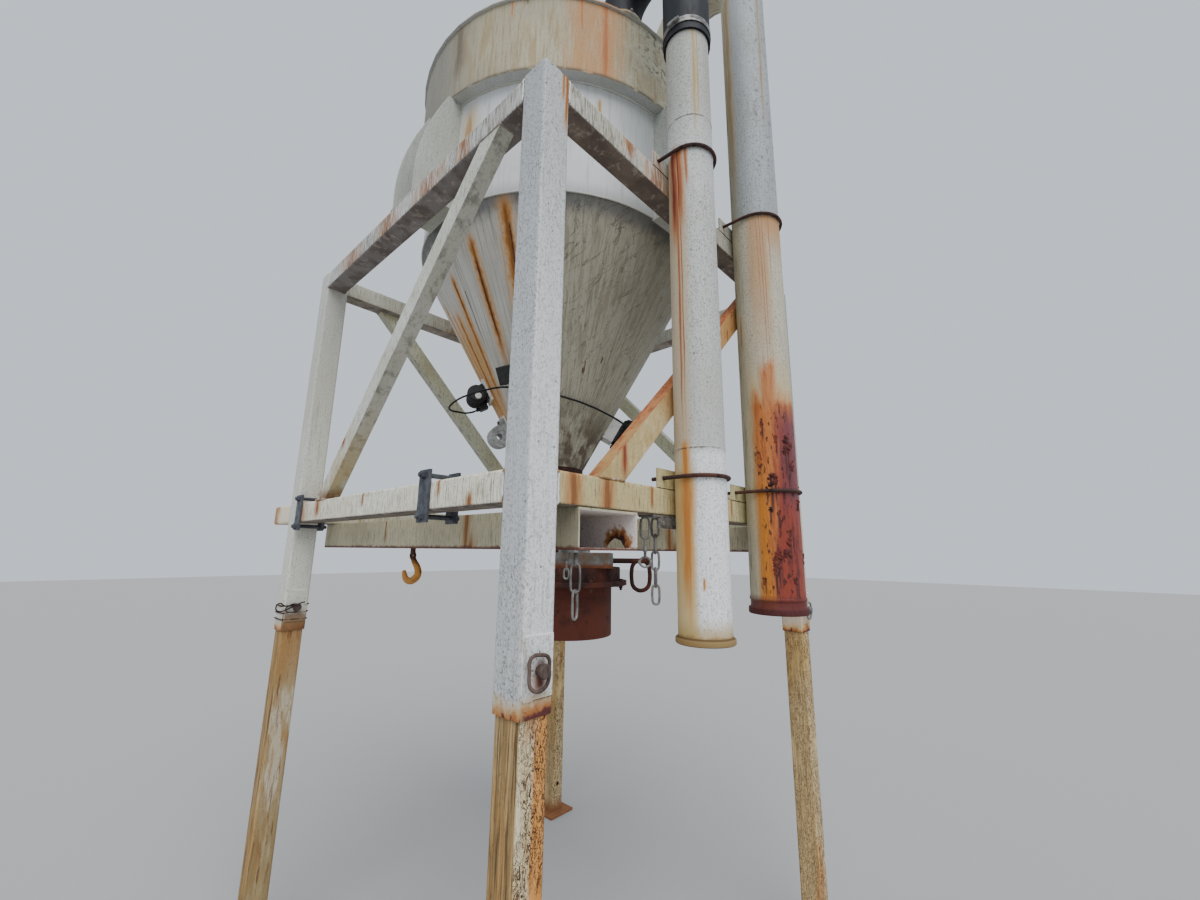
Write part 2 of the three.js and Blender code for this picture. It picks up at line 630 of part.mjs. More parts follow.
// Hose clamp at the foot of the rubber bend, with its screw housing in front
const CLAMP_SIDES = 20;
const clampInner = (HOSE_INNER + HOSE_WALL + GAP) / Math.cos(Math.PI / CLAMP_SIDES);
const clampFront = pipeY(PIPE_A) - clampInner;
const { bottom: clampLow, width: clampWidth, thickness: clampThickness } = HOSE_CLAMP;
add('hose_clamp', join(
  turned([
    [clampInner, clampLow], [clampInner + clampThickness, clampLow],
    [clampInner + clampThickness, clampLow + clampWidth], [clampInner, clampLow + clampWidth],
  ], PIPE_A.x, pipeY(PIPE_A), CLAMP_SIDES),
  box(
    PIPE_A.x - 20, clampFront - 15, clampLow + 3,
    PIPE_A.x + 20, clampFront - 1.5, clampLow + clampWidth - 3,
  ),
), STEEL);

// U-bolts round the pipes, held by nuts behind the cleats
class UBend extends THREE.Curve {
  constructor(x, y, z, radius, back) {
    super();
    this.centre = new THREE.Vector3(x, y, z);
    this.radius = radius;
    this.leg = back - y;
    this.arc = Math.PI * radius;
  }

  getPoint(t) {
    const s = t * (2 * this.leg + this.arc);
    const { x, y, z } = this.centre;
    if (s < this.leg) {
      return new THREE.Vector3(x - this.radius, y + this.leg - s, z);
    }
    if (s < this.leg + this.arc) {
      const a = (s - this.leg) / this.radius;
      return new THREE.Vector3(x - this.radius * Math.cos(a), y - this.radius * Math.sin(a), z);
    }
    return new THREE.Vector3(x + this.radius, y + s - this.leg - this.arc, z);
  }
}

const CLEAT_BACK = -HALF + CLEAT_THICKNESS + GAP;
const BOLT_BACK = CLEAT_BACK + 34;
for (const [name, pipe] of [['a', PIPE_A], ['b', PIPE_B]]) {
  const reach = cleatReach(pipe);
  for (const [level, top] of [['upper', FRAME_TOP], ['lower', RING_TOP]]) {
    const z = top + BOLT_LIFT;
    const bend = new UBend(pipe.x, pipeY(pipe), z, reach, BOLT_BACK);
    const nuts = [-1, 1].map((side) => (
      barY(pipe.x + side * reach, z, CLEAT_BACK, CLEAT_BACK + NUT.height, NUT.radius, 6)
    ));
    add(`u_bolt_${name}_${level}`, join(bentBar(bend, BOLT_ROD / 2, 20, 6), ...nuts), STEEL);
  }
}

// Strap clamps: a flat bar on each side of the left ring beam, bolted above and below it
for (const [place, y] of Object.entries(CLAMP_PLACES)) {
  const outside = -HALF - GAP;
  const inside = -HALF + TUBE_SIZE + GAP;
  const low = y - CLAMP_WIDTH / 2;
  const high = y + CLAMP_WIDTH / 2;
  const bolts = CLAMP_BOLTS.flatMap((z) => [
    barX(y, z, outside - CLAMP_THICKNESS - 16, inside + CLAMP_THICKNESS + 18, 7),
    barX(y, z, outside - CLAMP_THICKNESS - 10, outside - 1, 12, 6),
    barX(y, z, inside + 1, inside + CLAMP_THICKNESS + 10, 12, 6),
  ]);
  add(`beam_clamp_${place}`, join(
    box(outside - CLAMP_THICKNESS, low, CLAMP_LOW, outside, high, CLAMP_HIGH),
    box(inside, low, CLAMP_LOW, inside + CLAMP_THICKNESS, high, CLAMP_HIGH),
    ...bolts,
  ), STEEL);
}

// Bag hook under the left fork pocket, hanging from a lug
const HOOK_X = -625;
const HOOK_BAR = 19;
const hookLine = new THREE.CatmullRomCurve3([
  [12, 1468], [1, 1455], [-22, 1436], [-29, 1417], [-10, 1400], [24, 1391], [53, 1398], [66, 1413], [70, 1424],
].map(([y, z]) => new THREE.Vector3(HOOK_X, y, z)), false, 'centripetal');
add('bag_hook', join(
  bentBar(hookLine, HOOK_BAR / 2, 16),
  link(34, 34, 10, Math.PI / 2, HOOK_X, 16, 1493),
  box(HOOK_X - 4, 6, 1477, HOOK_X + 4, 30, POCKET_BOTTOM),
), RUSTY);

// Chains that hang from plates under the front ring beam and the left fork pocket.
// FACING turns a link's broad side to the front left corner.
const FACING = -Math.PI / 4;
add('front_chains', join(
  box(-345, -800, RING_BOTTOM - 6, -229, -745, RING_BOTTOM),
  box(-321, -800, 1563, -229, -792, 1591),
  box(-311, -800, 1590, -299, -792, RING_BOTTOM - 5),
  box(-251, -800, 1590, -239, -792, RING_BOTTOM - 5),
  ...chain(5, 26, 60, 7, FACING, -285, -760, RING_BOTTOM - 3),
  link(30, 67, 6.5, FACING, -334, -760, RING_BOTTOM - 3),
  disc(-334, -760, 1482, 1534, 4, 8),
  link(40, 34, 7, FACING, -334, -760, 1486),
), ZINC);
add('left_chains', join(
  box(-655, -798, POCKET_BOTTOM - 6, -600, -745, POCKET_BOTTOM),
  box(-636, -783, 1462, -626, -777, POCKET_BOTTOM - 5),
  link(26, 70, 6, FACING, -631, -780, 1471),
  link(26, 70, 6, FACING + Math.PI / 3, -631, -780, 1411.5),
  ...chain(3, 16, 28, 5, FACING, -643, -762, POCKET_BOTTOM - 2),
), ZINC);

// Vibrator motor on the left of the cone, across the slope, with its terminal box and gland below
add('vibrator_left', onCone(join(
  box(PLATE_FACE + GAP, -34, -38, 50, 34, 38),
  barY(54, 0, -50, 50, 41, 24),
  barY(54, 0, -60, 60, 33, 20),
  box(22, -44, -64, 60, -6, -20),
  barX(-25, -52, 59, 75, 8, 12),
), MOTOR_LEFT), BLACK);

// Ball vibrator below it: an arched housing on a foot, with a bore through its middle
const arch = new THREE.Shape();
arch.moveTo(-69, BALL_PLATE_FACE + GAP);
arch.lineTo(69, BALL_PLATE_FACE + GAP);
arch.lineTo(69, 22);
arch.lineTo(48, 28);
arch.lineTo(48, 50);
arch.absarc(0, 50, 48, 0, Math.PI);
arch.lineTo(-48, 28);
arch.lineTo(-69, 22);
arch.closePath();
const archHole = new THREE.Path();
archHole.absarc(0, 56, 13, 0, Math.PI * 2);
arch.holes.push(archHole);
add('ball_vibrator', onCone(new THREE.ExtrudeGeometry(arch, {
  depth: 58, bevelEnabled: false, curveSegments: 8,
}).rotateX(Math.PI / 2).rotateY(Math.PI / 2).translate(0, 29, 0), BALL_VIBRATOR), ZINC);

// Vibrator motor on the right of the cone, along the slope, on its stand
add('vibrator_right', onCone(join(
  box(STAND_FACE + GAP, -36, -48, 80, 36, 48),
  disc(92, 0, -74, 74, 42, 24),
  disc(92, 0, -84, 84, 33, 20),
  barY(95, 33, -58, -36, 8, 12),
), MOTOR_RIGHT), BLACK);

// Level sensor's box, beside the near leg, with a blind gland on its side
add('level_box', onCone(join(
  box(GAP, -40, -37, 60, 40, 37),
  barY(30, 8, -54, -39, 8, 12),
), LEVEL_BOX), BLACK);

// Cable from the left motor, in a loop and round the front of the cone, to the right motor
const cableLine = new THREE.CatmullRomCurve3([
  [-294.3, 198.8, 2103.2], [-306.1, 205.6, 2095.8], [-334, 218, 2087], [-370, 224, 2085],
  [-406, 221, 2084], [-428, 197, 2087], [-434, 160, 2098], [-424, 125, 2113], [-410, 88, 2123],
  [-390, 47, 2133], [-373, 2, 2138], [-352, -30, 2144], [-326, -58, 2147], [-301, -84, 2144],
  [-284, -109, 2139], [-266, -136, 2134], [-241, -168, 2125], [-219, -192, 2119], [-194, -213, 2114],
  [-144, -243, 2103], [-102, -259, 2097], [-53, -269, 2089], [-13, -272, 2085], [30, -276, 2077],
  [71, -277, 2071], [113, -275, 2065], [145, -279, 2055], [170, -289, 2046], [191, -296, 2039],
  [203.3, -284, 2038.4], [214.4, -271.7, 2038.4],
].map((point) => new THREE.Vector3(...point)), false, 'centripetal');
add('vibrator_cable', bentBar(cableLine, CABLE_DIAMETER / 2, 70, 8), RUBBER);

export default silo;
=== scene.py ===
# Bulk bag silo on a telescopic steel frame, after years in the open. The frame, the tank and the
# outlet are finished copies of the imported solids. Pipes, bars, links and motors are modelled anew
# in the same places.
import math
import random

import bpy
from mathutils import Matrix, Vector


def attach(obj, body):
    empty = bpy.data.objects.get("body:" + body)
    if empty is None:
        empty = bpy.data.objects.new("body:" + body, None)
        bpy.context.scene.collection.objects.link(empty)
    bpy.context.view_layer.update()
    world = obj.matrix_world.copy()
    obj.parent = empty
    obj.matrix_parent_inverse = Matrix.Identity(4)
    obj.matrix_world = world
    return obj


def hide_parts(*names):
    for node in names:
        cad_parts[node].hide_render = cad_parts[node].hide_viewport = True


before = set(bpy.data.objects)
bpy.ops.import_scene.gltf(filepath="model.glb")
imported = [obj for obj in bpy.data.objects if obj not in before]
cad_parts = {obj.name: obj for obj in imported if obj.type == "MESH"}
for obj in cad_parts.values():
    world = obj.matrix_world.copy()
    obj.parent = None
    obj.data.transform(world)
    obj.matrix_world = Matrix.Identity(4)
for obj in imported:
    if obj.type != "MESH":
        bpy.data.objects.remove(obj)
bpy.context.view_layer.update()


# Viewpoint: a wide lens at eye height, close to the near leg and turned up a little, with the
# place and turn that bring the frame's edges where the photograph has them.
EYE = (-1.4529, -1.5998, 1.4993)
YAW = 0.8334
PITCH = 0.2057
ROLL = 0.0109
LENS = 14.465
bpy.ops.object.select_all(action="DESELECT")
bpy.ops.object.camera_add(location=EYE)
camera = bpy.context.object
camera.name = "viewpoint"
camera.data.sensor_width = 36
camera.data.lens = LENS
camera.data.clip_start = 0.05
upright = Matrix.Rotation(math.pi / 2 + PITCH, 4, "X") @ Matrix.Rotation(ROLL, 4, "Z")
camera.matrix_world = Matrix.Translation(EYE) @ Matrix.Rotation(-YAW, 4, "Z") @ upright
bpy.context.scene.camera = camera


# Vibrator cable: 8 mm black rubber flex, about 1.1 m from the gland of the left motor, in a free
# loop, then round the front of the cone to the gland of the right motor.
CABLE_ROUTE = [
    (-0.2943, 0.1988, 2.1032), (-0.3061, 0.2056, 2.0958), (-0.334, 0.218, 2.087), (-0.37, 0.224, 2.085),
    (-0.406, 0.221, 2.084), (-0.428, 0.197, 2.087), (-0.434, 0.16, 2.098), (-0.424, 0.125, 2.113),
    (-0.41, 0.088, 2.123), (-0.39, 0.047, 2.133), (-0.373, 0.002, 2.138), (-0.352, -0.03, 2.144),
    (-0.326, -0.058, 2.147), (-0.301, -0.084, 2.144), (-0.284, -0.109, 2.139), (-0.266, -0.136, 2.134),
    (-0.241, -0.168, 2.125), (-0.219, -0.192, 2.119), (-0.194, -0.213, 2.114), (-0.144, -0.243, 2.103),
    (-0.102, -0.259, 2.097), (-0.053, -0.269, 2.089), (-0.013, -0.272, 2.085), (0.03, -0.276, 2.077),
    (0.071, -0.277, 2.071), (0.113, -0.275, 2.065), (0.145, -0.279, 2.055), (0.17, -0.289, 2.046),
    (0.191, -0.296, 2.039), (0.2033, -0.284, 2.0384), (0.2144, -0.2717, 2.0384),
]
CABLE_DIAMETER = 0.008


def tone(code):
    """A colour as linear light, from its six-digit code."""
    channels = [(code >> shift & 255) / 255 for shift in (16, 8, 0)]
    return [c / 12.92 if c < 0.04045 else ((c + 0.055) / 1.055) ** 2.4 for c in channels] + [1.0]


class Finish:
    """The finish of a surface, built up in layers: the coat first, then wear, dirt and rust."""

    def __init__(self, name, coat, roughness=0.6, metallic=0.0):
        self.material = bpy.data.materials.new(name)
        self.material.use_nodes = True
        self.tree = self.material.node_tree
        self.shader = self.tree.nodes["Principled BSDF"]
        self.shader.inputs["Metallic"].default_value = metallic
        coordinates = self.node("TexCoord")
        self.place = coordinates.outputs["Object"]
        self.facing = coordinates.outputs["Normal"]
        self.x, self.y, self.z = self.split(self.place)
        self.color = tone(coat)
        self.roughness = roughness
        self.height = 0.0

    def node(self, kind, settings=None, inputs=()):
        made = self.tree.nodes.new("ShaderNode" + kind)
        for key, value in (settings or {}).items():
            setattr(made, key, value)
        self.feed(made, inputs)
        return made

    def feed(self, node, inputs):
        """Sets the inputs of a node, or links them where a value comes from another node."""
        for socket, value in inputs:
            if isinstance(value, bpy.types.NodeSocket):
                self.tree.links.new(value, node.inputs[socket])
            else:
                node.inputs[socket].default_value = value

    def split(self, vector):
        return self.node("SeparateXYZ", inputs=[(0, vector)]).outputs

    def calc(self, kind, *values):
        values = [self.mask(value) for value in values]
        return self.node("Math", {"operation": kind}, enumerate(values)).outputs[0]

    def scaled(self, value, factor, added):
        return self.calc("MULTIPLY_ADD", value, factor, added)

    def wavering(self, value, amount, *pattern):
        """A value that a noise pattern sways by half the amount to either side."""
        return self.calc("ADD", value, self.scaled(self.noise(*pattern), amount, -amount / 2))

    def vector(self, kind, first, second):
        made = self.node("VectorMath", {"operation": kind}, [(0, first), (1, second)])
        return made.outputs["Value" if kind == "DOT_PRODUCT" else "Vector"]

    def both(self, first, *others):
        first = self.mask(first)
        for other in others:
            first = self.calc("MULTIPLY", first, other)
        return first

    def either(self, first, *others):
        for other in others:
            first = self.calc("MAXIMUM", first, other)
        return first

    def crossing(self, pattern, width):
        """Thin lines where a pattern passes its middle."""
        return self.both(self.ramp(pattern, 0.5 - width, 0.5), self.ramp(pattern, 0.5 + width, 0.5))

    def inside(self, value, low, high, soft):
        """1 between LOW and HIGH, with edges that soft."""
        return self.both(self.ramp(value, low - soft, low), self.ramp(value, high + soft, high))

    def ramp(self, value, low, high):
        """0 at LOW, 1 at HIGH, and smooth between."""
        settings = {"interpolation_type": "SMOOTHSTEP"}
        made = self.node("MapRange", settings,
                         [("Value", value), ("From Min", low), ("From Max", high)])
        return made.outputs["Result"]

    def noise(self, size, drawn=1.0, detail=4.0, seed=0.0, around=None, swirl=0.0):
        """Cloudy noise with patches of SIZE metres, drawn out downwards that many times."""
        scale = (1 / size, 1 / size, 1 / size / drawn)
        inputs = [("Vector", around or self.place), ("Scale", scale),
                  ("Location", (seed, seed * 1.7, seed * 0.6))]
        spread = self.node("Mapping", inputs=inputs).outputs["Vector"]
        inputs = [("Vector", spread), ("Scale", 1.0), ("Detail", detail), ("Roughness", 0.6),
                  ("Distortion", swirl)]
        return self.node("TexNoise", inputs=inputs).outputs["Fac"]

    def dots(self, spacing, size, share=1.0, seed=0.0):
        """Round dots of about that SIZE, on a share of places that lie SPACING apart."""
        shifted = self.vector("ADD", self.place, (seed, seed, seed))
        inputs = [("Vector", shifted), ("Scale", 1 / spacing), ("Randomness", 1.0)]
        cells = self.node("TexVoronoi", inputs=inputs).outputs
        chance = self.split(cells["Color"])
        reach = self.scaled(chance[1], size / spacing / 2, size / spacing / 4)
        round_dot = self.ramp(self.calc("DIVIDE", cells["Distance"], reach), 1.0, 0.55)
        return self.both(round_dot, self.ramp(chance[0], share + 0.01, share))

    def mask(self, value):
        """A ramp or a soft span given as its three or four numbers, or a pattern as its size, how far
        it is drawn out, its detail and seed and where it starts and is full."""
        if not isinstance(value, tuple):
            return value
        if len(value) > 4:
            return self.ramp(self.noise(*value[:4], *value[6:]), *value[4:6])
        return self.ramp(*value) if len(value) == 3 else self.inside(*value)

    def lay(self, color, roughness, *masks):
        """Covers what is there with COLOR where all the masks say so."""
        mask = self.both(*masks)
        inputs = [(0, mask), (6, self.color), (7, tone(color))]
        self.color = self.node("Mix", {"data_type": "RGBA"}, inputs).outputs[2]
        if roughness is not None:
            inputs = [(0, mask), (2, self.roughness), (3, roughness)]
            self.roughness = self.node("Mix", {"data_type": "FLOAT"}, inputs).outputs[0]

    def raise_by(self, mask, amount):
        """Adds to the relief, in metres."""
        self.height = self.scaled(mask, amount, self.height)

    def covered(self, grain, depth, *layers):
        """The whole finish of a small part: its layers and the grain of its surface."""
        for layer in layers:
            self.lay(*layer)
        self.raise_by(self.noise(*grain), depth)
        return self.done()

    def done(self):
        self.feed(self.shader, [("Base Color", self.color), ("Roughness", self.roughness)])
        if isinstance(self.height, bpy.types.NodeSocket):
            inputs = [("Height", self.height), ("Strength", 1.0), ("Distance", 1.0)]
            relief = self.node("Bump", inputs=inputs)
            self.feed(self.shader, [("Normal", relief.outputs["Normal"])])
        return self.material


def rubber(name):
    made = Finish(name, 0x10131A, 0.6)
    made.shader.inputs["Specular IOR Level"].default_value = 0.3
    made.lay(0x1C2027, 0.8, (0.02, 3, 4, 0, 0.45, 0.8))
    made.raise_by(made.noise(0.0015, 1, 2), 0.0002)
    return made.done()


bpy.ops.object.select_all(action="DESELECT")
bpy.ops.curve.primitive_bezier_curve_add(radius=1, location=(0, 0, 0))
cable = bpy.context.object
cable.name = "vibrator_cable_flex"
spline = cable.data.splines[0]
spline.bezier_points.add(len(CABLE_ROUTE) - len(spline.bezier_points))
for point, place in zip(spline.bezier_points, CABLE_ROUTE):
    point.co = place
    point.handle_left_type = point.handle_right_type = "AUTO"
cable.data.resolution_u = 6
cable.data.bevel_depth = CABLE_DIAMETER / 2
cable.data.bevel_resolution = 3
cable.data.use_fill_caps = True
cable.data.materials.append(rubber("cable_rubber"))
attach(cable, "root")
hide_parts("vibrator_cable")


# Floor and light: a plain pale floor under a soft even sky, with the light a little stronger from
# the upper left, as on an overcast day.
FLOOR_SIDE = 60
SKY_COLOR = (0.78, 0.84, 0.93, 1)
SKY_STRENGTH = 0.95
bpy.ops.object.select_all(action="DESELECT")
bpy.ops.mesh.primitive_plane_add(size=FLOOR_SIDE, location=(0, 0, 0))
floor = bpy.context.object
floor.name = "floor"
pale_floor = Finish("pale_floor", 0xA9A8A6, 0.9)
floor.data.materials.append(pale_floor.done())
world = bpy.data.worlds.new("overcast")
bpy.context.scene.world = world
world.use_nodes = True
world.node_tree.nodes["Background"].inputs["Color"].default_value = SKY_COLOR
world.node_tree.nodes["Background"].inputs["Strength"].default_value = SKY_STRENGTH
bpy.ops.object.light_add(type="SUN", location=(-3, -4, 8))
sun = bpy.context.object
sun.name = "sky_light"
sun.data.energy = 2.4
sun.data.angle = math.radians(50)
sun.rotation_euler = (math.radians(30), math.radians(-22), 0)


# Leg sleeves: 90 mm square tube, 4 mm thick, with a pad welded round the pin's hole and a cap on
# top. White paint, speckled, with painted shade greying it towards the top, and rust at the foot where
# water stands.
SLEEVE_FOOT = 1.17
PAD_FOOT = 1.205


def speckled(finish, amount=1.0, seed=0.0):
    """Fine dark growth in the paint: a soft grey grain, small dots and a few larger ones."""
    cloud = finish.ramp(finish.noise(0.35, 2, 3, seed), 0.3, 0.7)
    grain = finish.ramp(finish.noise(0.0048, 1.6, 4, seed), 0.60 - 0.10 * amount, 0.72 - 0.07 * amount)
    finish.lay(0x7C7F7C, 0.8, grain, finish.scaled(cloud, 0.40, 0.35))
    small = finish.dots(0.0075, 0.0048, 0.9, seed)
    finish.lay(0x5B5D5A, 0.85, small, finish.scaled(cloud, 0.3 * amount, 0.3 * amount))
    large = finish.dots(0.022, 0.0055, 0.4, seed + 3)
    finish.lay(0x444542, 0.85, large, 0.65 * amount)
    finish.raise_by(grain, 0.00012)


def facing(finish, x=0.0, y=0.0, z=0.0):
    """1 on the faces that look along this direction and 0 on the rest."""
    return finish.ramp(finish.vector("DOT_PRODUCT", finish.facing, (x, y, z)), 0.35, 0.75)


def runs(finish, across, reach, marks, wobble=0.02):
    """Stains that run down. A mark is its place, top, bottom and half width. Gives the soft halo
    and the dark core of all of them."""
    sway = finish.scaled(finish.noise(0.3, 2, 3, 11), wobble, -wobble / 2)
    ragged = finish.scaled(finish.noise(0.012, 9, 4, 4), 1.0, -0.5)
    halo = core = 0.0
    for place, top, bottom, width in marks:
        off = finish.calc("SUBTRACT", across, place)
        off = finish.scaled(off, reach, sway)
        off = finish.calc("DIVIDE", finish.calc("ABSOLUTE", off), width)
        off = finish.scaled(ragged, 0.9, off)
        head = finish.ramp(finish.z, top + width * 0.8, top - width * 0.8)
        tail = finish.ramp(finish.z, bottom, bottom + (top - bottom) * 0.45)
        stain = finish.both(head, tail)
        halo = finish.either(halo, finish.both((off, 1.0, 0.2), stain))
        core = finish.either(core, finish.both((off, 0.42, 0.05), stain))
    return halo, core


def stain(finish, marks, across, reach=1.0, where=1.0, halo=0xC48A3C, core=0x8A4A1A, strength=0.85):
    soft, dark = runs(finish, across, reach, marks)
    finish.lay(halo, 0.8, soft, where, strength)
    finish.lay(core, 0.88, dark, where, strength)
    finish.raise_by(finish.both(dark, where), 0.0003)


def rusty_edges(finish, width, amount, color=0x7C4A26):
    """Rust along the corners of a piece, where the paint is thin."""
    soft = finish.node("Bevel", {"samples": 4}, [("Radius", width)]).outputs[0]
    broken = finish.ramp(finish.noise(0.035, 1, 5, 8), 0.62 - 0.2 * amount, 0.70 - 0.1 * amount)
    finish.lay(color, 0.9, (finish.vector("DOT_PRODUCT", soft, finish.facing), 0.992, 0.86), broken)


def only(piece):
    """Makes this piece the only one that is selected, and the active one."""
    bpy.ops.object.select_all(action="DESELECT")
    piece.select_set(True)
    bpy.context.view_layer.objects.active = piece


def modified(piece, kind, **settings):
    """Shapes a piece with a modifier that is applied at once."""
    tool = piece.modifiers.new(kind.lower(), kind)
    for key, value in settings.items():
        setattr(tool, key, value)
    bpy.context.view_layer.objects.active = piece
    bpy.ops.object.modifier_apply(modifier=tool.name)
    return piece


def settled():
    """Moves the place, turn and size of the selected pieces into their meshes."""
    bpy.ops.object.transform_apply(location=True, rotation=True, scale=True)
    return bpy.context.object


def dressed(node, material, slot="frame_paint", edge=0.0015):
    """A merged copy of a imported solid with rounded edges, which stands for it."""
    piece = bpy.data.objects.new(node + "_finished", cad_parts[node].data.copy())
    bpy.context.scene.collection.objects.link(piece)
    only(piece)
    bpy.ops.object.mode_set(mode="EDIT")
    bpy.ops.mesh.select_all(action="SELECT")
    bpy.ops.mesh.remove_doubles(threshold=0.00002)
    bpy.ops.mesh.dissolve_limited(angle_limit=math.radians(0.3))
    bpy.ops.object.mode_set(mode="OBJECT")
    if edge:
        modified(piece, "BEVEL", width=edge, segments=2, limit_method="ANGLE", angle_limit=math.radians(50))
    return finished(piece, piece.name, material, slot, node)


def finished(piece, name, material, slot, *nodes):
    """Smooths a mesh, names it, gives it its finish and fixes it to the silo."""
    only(piece)
    settled()
    bpy.ops.object.shade_smooth_by_angle(angle=math.radians(48))
    modified(piece, "WEIGHTED_NORMAL", keep_sharp=True)
    piece.name = name
    piece.data.materials.clear()
    piece.data.materials.append(material)
    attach(piece, "root")
    if nodes:
        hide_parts(*nodes)
    return piece


def sleeve_paint(name, coat, cream, speckle, near=False, grey=0.35):
    made = Finish(name, coat, 0.55)
    made.lay(cream, None, (0.4, 2, 4, 0, 0.40, 0.68))
    # Painted shade: blue-grey laid over the upper part of the sleeve, more of it the larger grey is.
    made.lay(0x989C9E, None, (made.z, 1.5, 2.5 if grey > 0.6 else 2.8), grey)
    front = facing(made, y=-1)
    if near:
        # Painted shade: the near sleeve's left face is laid over with a darker blue-grey.
        made.lay(0xB4B6B8, None, facing(made, x=-1), 0.62)
    made.lay(0x84847C, 0.8, (0.007, 16, 5, 0, 0.50, 0.72), (0.22, 1, 3, 2, 0.30, 0.62), 0.5)
    speckled(made, speckle)
    made.lay(0xA7A69C, None, (0.06, 2.5, 5, 3, 0.64, 0.70), 0.5)
    rusty_edges(made, 0.004, 0.1, 0x8C6A48)
    ragged = made.wavering(made.z, 0.05, 0.03, 1.5, 4, 6)
    low = made.scaled(facing(made, x=-1), 0.012, ragged)
    made.lay(0xCDA75A, 0.75, (low, SLEEVE_FOOT + 0.060, SLEEVE_FOOT + 0.02), 0.75)
    made.lay(0xA8642A, 0.8, (low, SLEEVE_FOOT + 0.036, SLEEVE_FOOT + 0.014), 0.92)
    made.lay(0x5A2A26, 0.9, (low, SLEEVE_FOOT + 0.016, SLEEVE_FOOT + 0.007))
    made.lay(0x4A2024, 0.9, (0.014, 1.5, 4, 3, 0.56, 0.62), (low, SLEEVE_FOOT + 0.03, SLEEVE_FOOT + 0.015))
    if near:
        stain(made, [(-0.722, 2.765, 2.56, 0.014), (-0.735, 2.765, 2.66, 0.010)], made.x, where=front)
        stain(made, [(-0.750, 1.274, 1.205, 0.030)], made.x, where=front, halo=0x9C6648, core=0x4E1C14)
        corner = made.both(front, (made.x, -0.780, -0.797), (made.z, 1.345, 1.325))
        made.lay(0xA98E62, 0.85, corner, (0.02, 4, 5, 9, 0.42, 0.56), 0.7)
        # Painted shadow: a thin dark brown line along the foot of the pad, on the front face.
        pad_gap_shade = made.calc("ABSOLUTE", made.calc("SUBTRACT", made.z, PAD_FOOT))
        made.lay(0x4A3024, 0.9, (pad_gap_shade, 0.0022, 0.0008), front, (made.x, -0.775, -0.765))
    else:
        behind = made.both(front, (made.y, 0.6, 0.7), (made.x, -0.6, -0.7))
        made.lay(0x7E5A38, 0.88, behind, (ragged, 1.26, 1.22), 0.85)
        made.lay(0xE6DCC0, 0.7, (made.y, 0.801, 0.806))
        end = made.calc("ADD", made.y, made.both(made.noise(0.02, 3, 5, 9), 0.12))
        made.lay(0xA8703A, 0.85, (made.y, 0.801, 0.806), (end, 0.97, 1.04), 0.85)
    return made.done()


near_paint = sleeve_paint("near_sleeve_paint", 0xE9EAEA, 0xDFDFDB, 1.1, near=True, grey=0.5)
far_paint = sleeve_paint("sleeve_paint", 0xDCDCD0, 0xD0CEBE, 0.55)
right_paint = sleeve_paint("right_sleeve_paint", 0xDCC8B2, 0xCDB9A2, 0.55, grey=0.95)
SLEEVES = {"front_left": near_paint, "front_right": right_paint, "back_left": far_paint,
           "back_right": far_paint}
for corner, paint in SLEEVES.items():
    dressed("leg_sleeve_" + corner, paint)


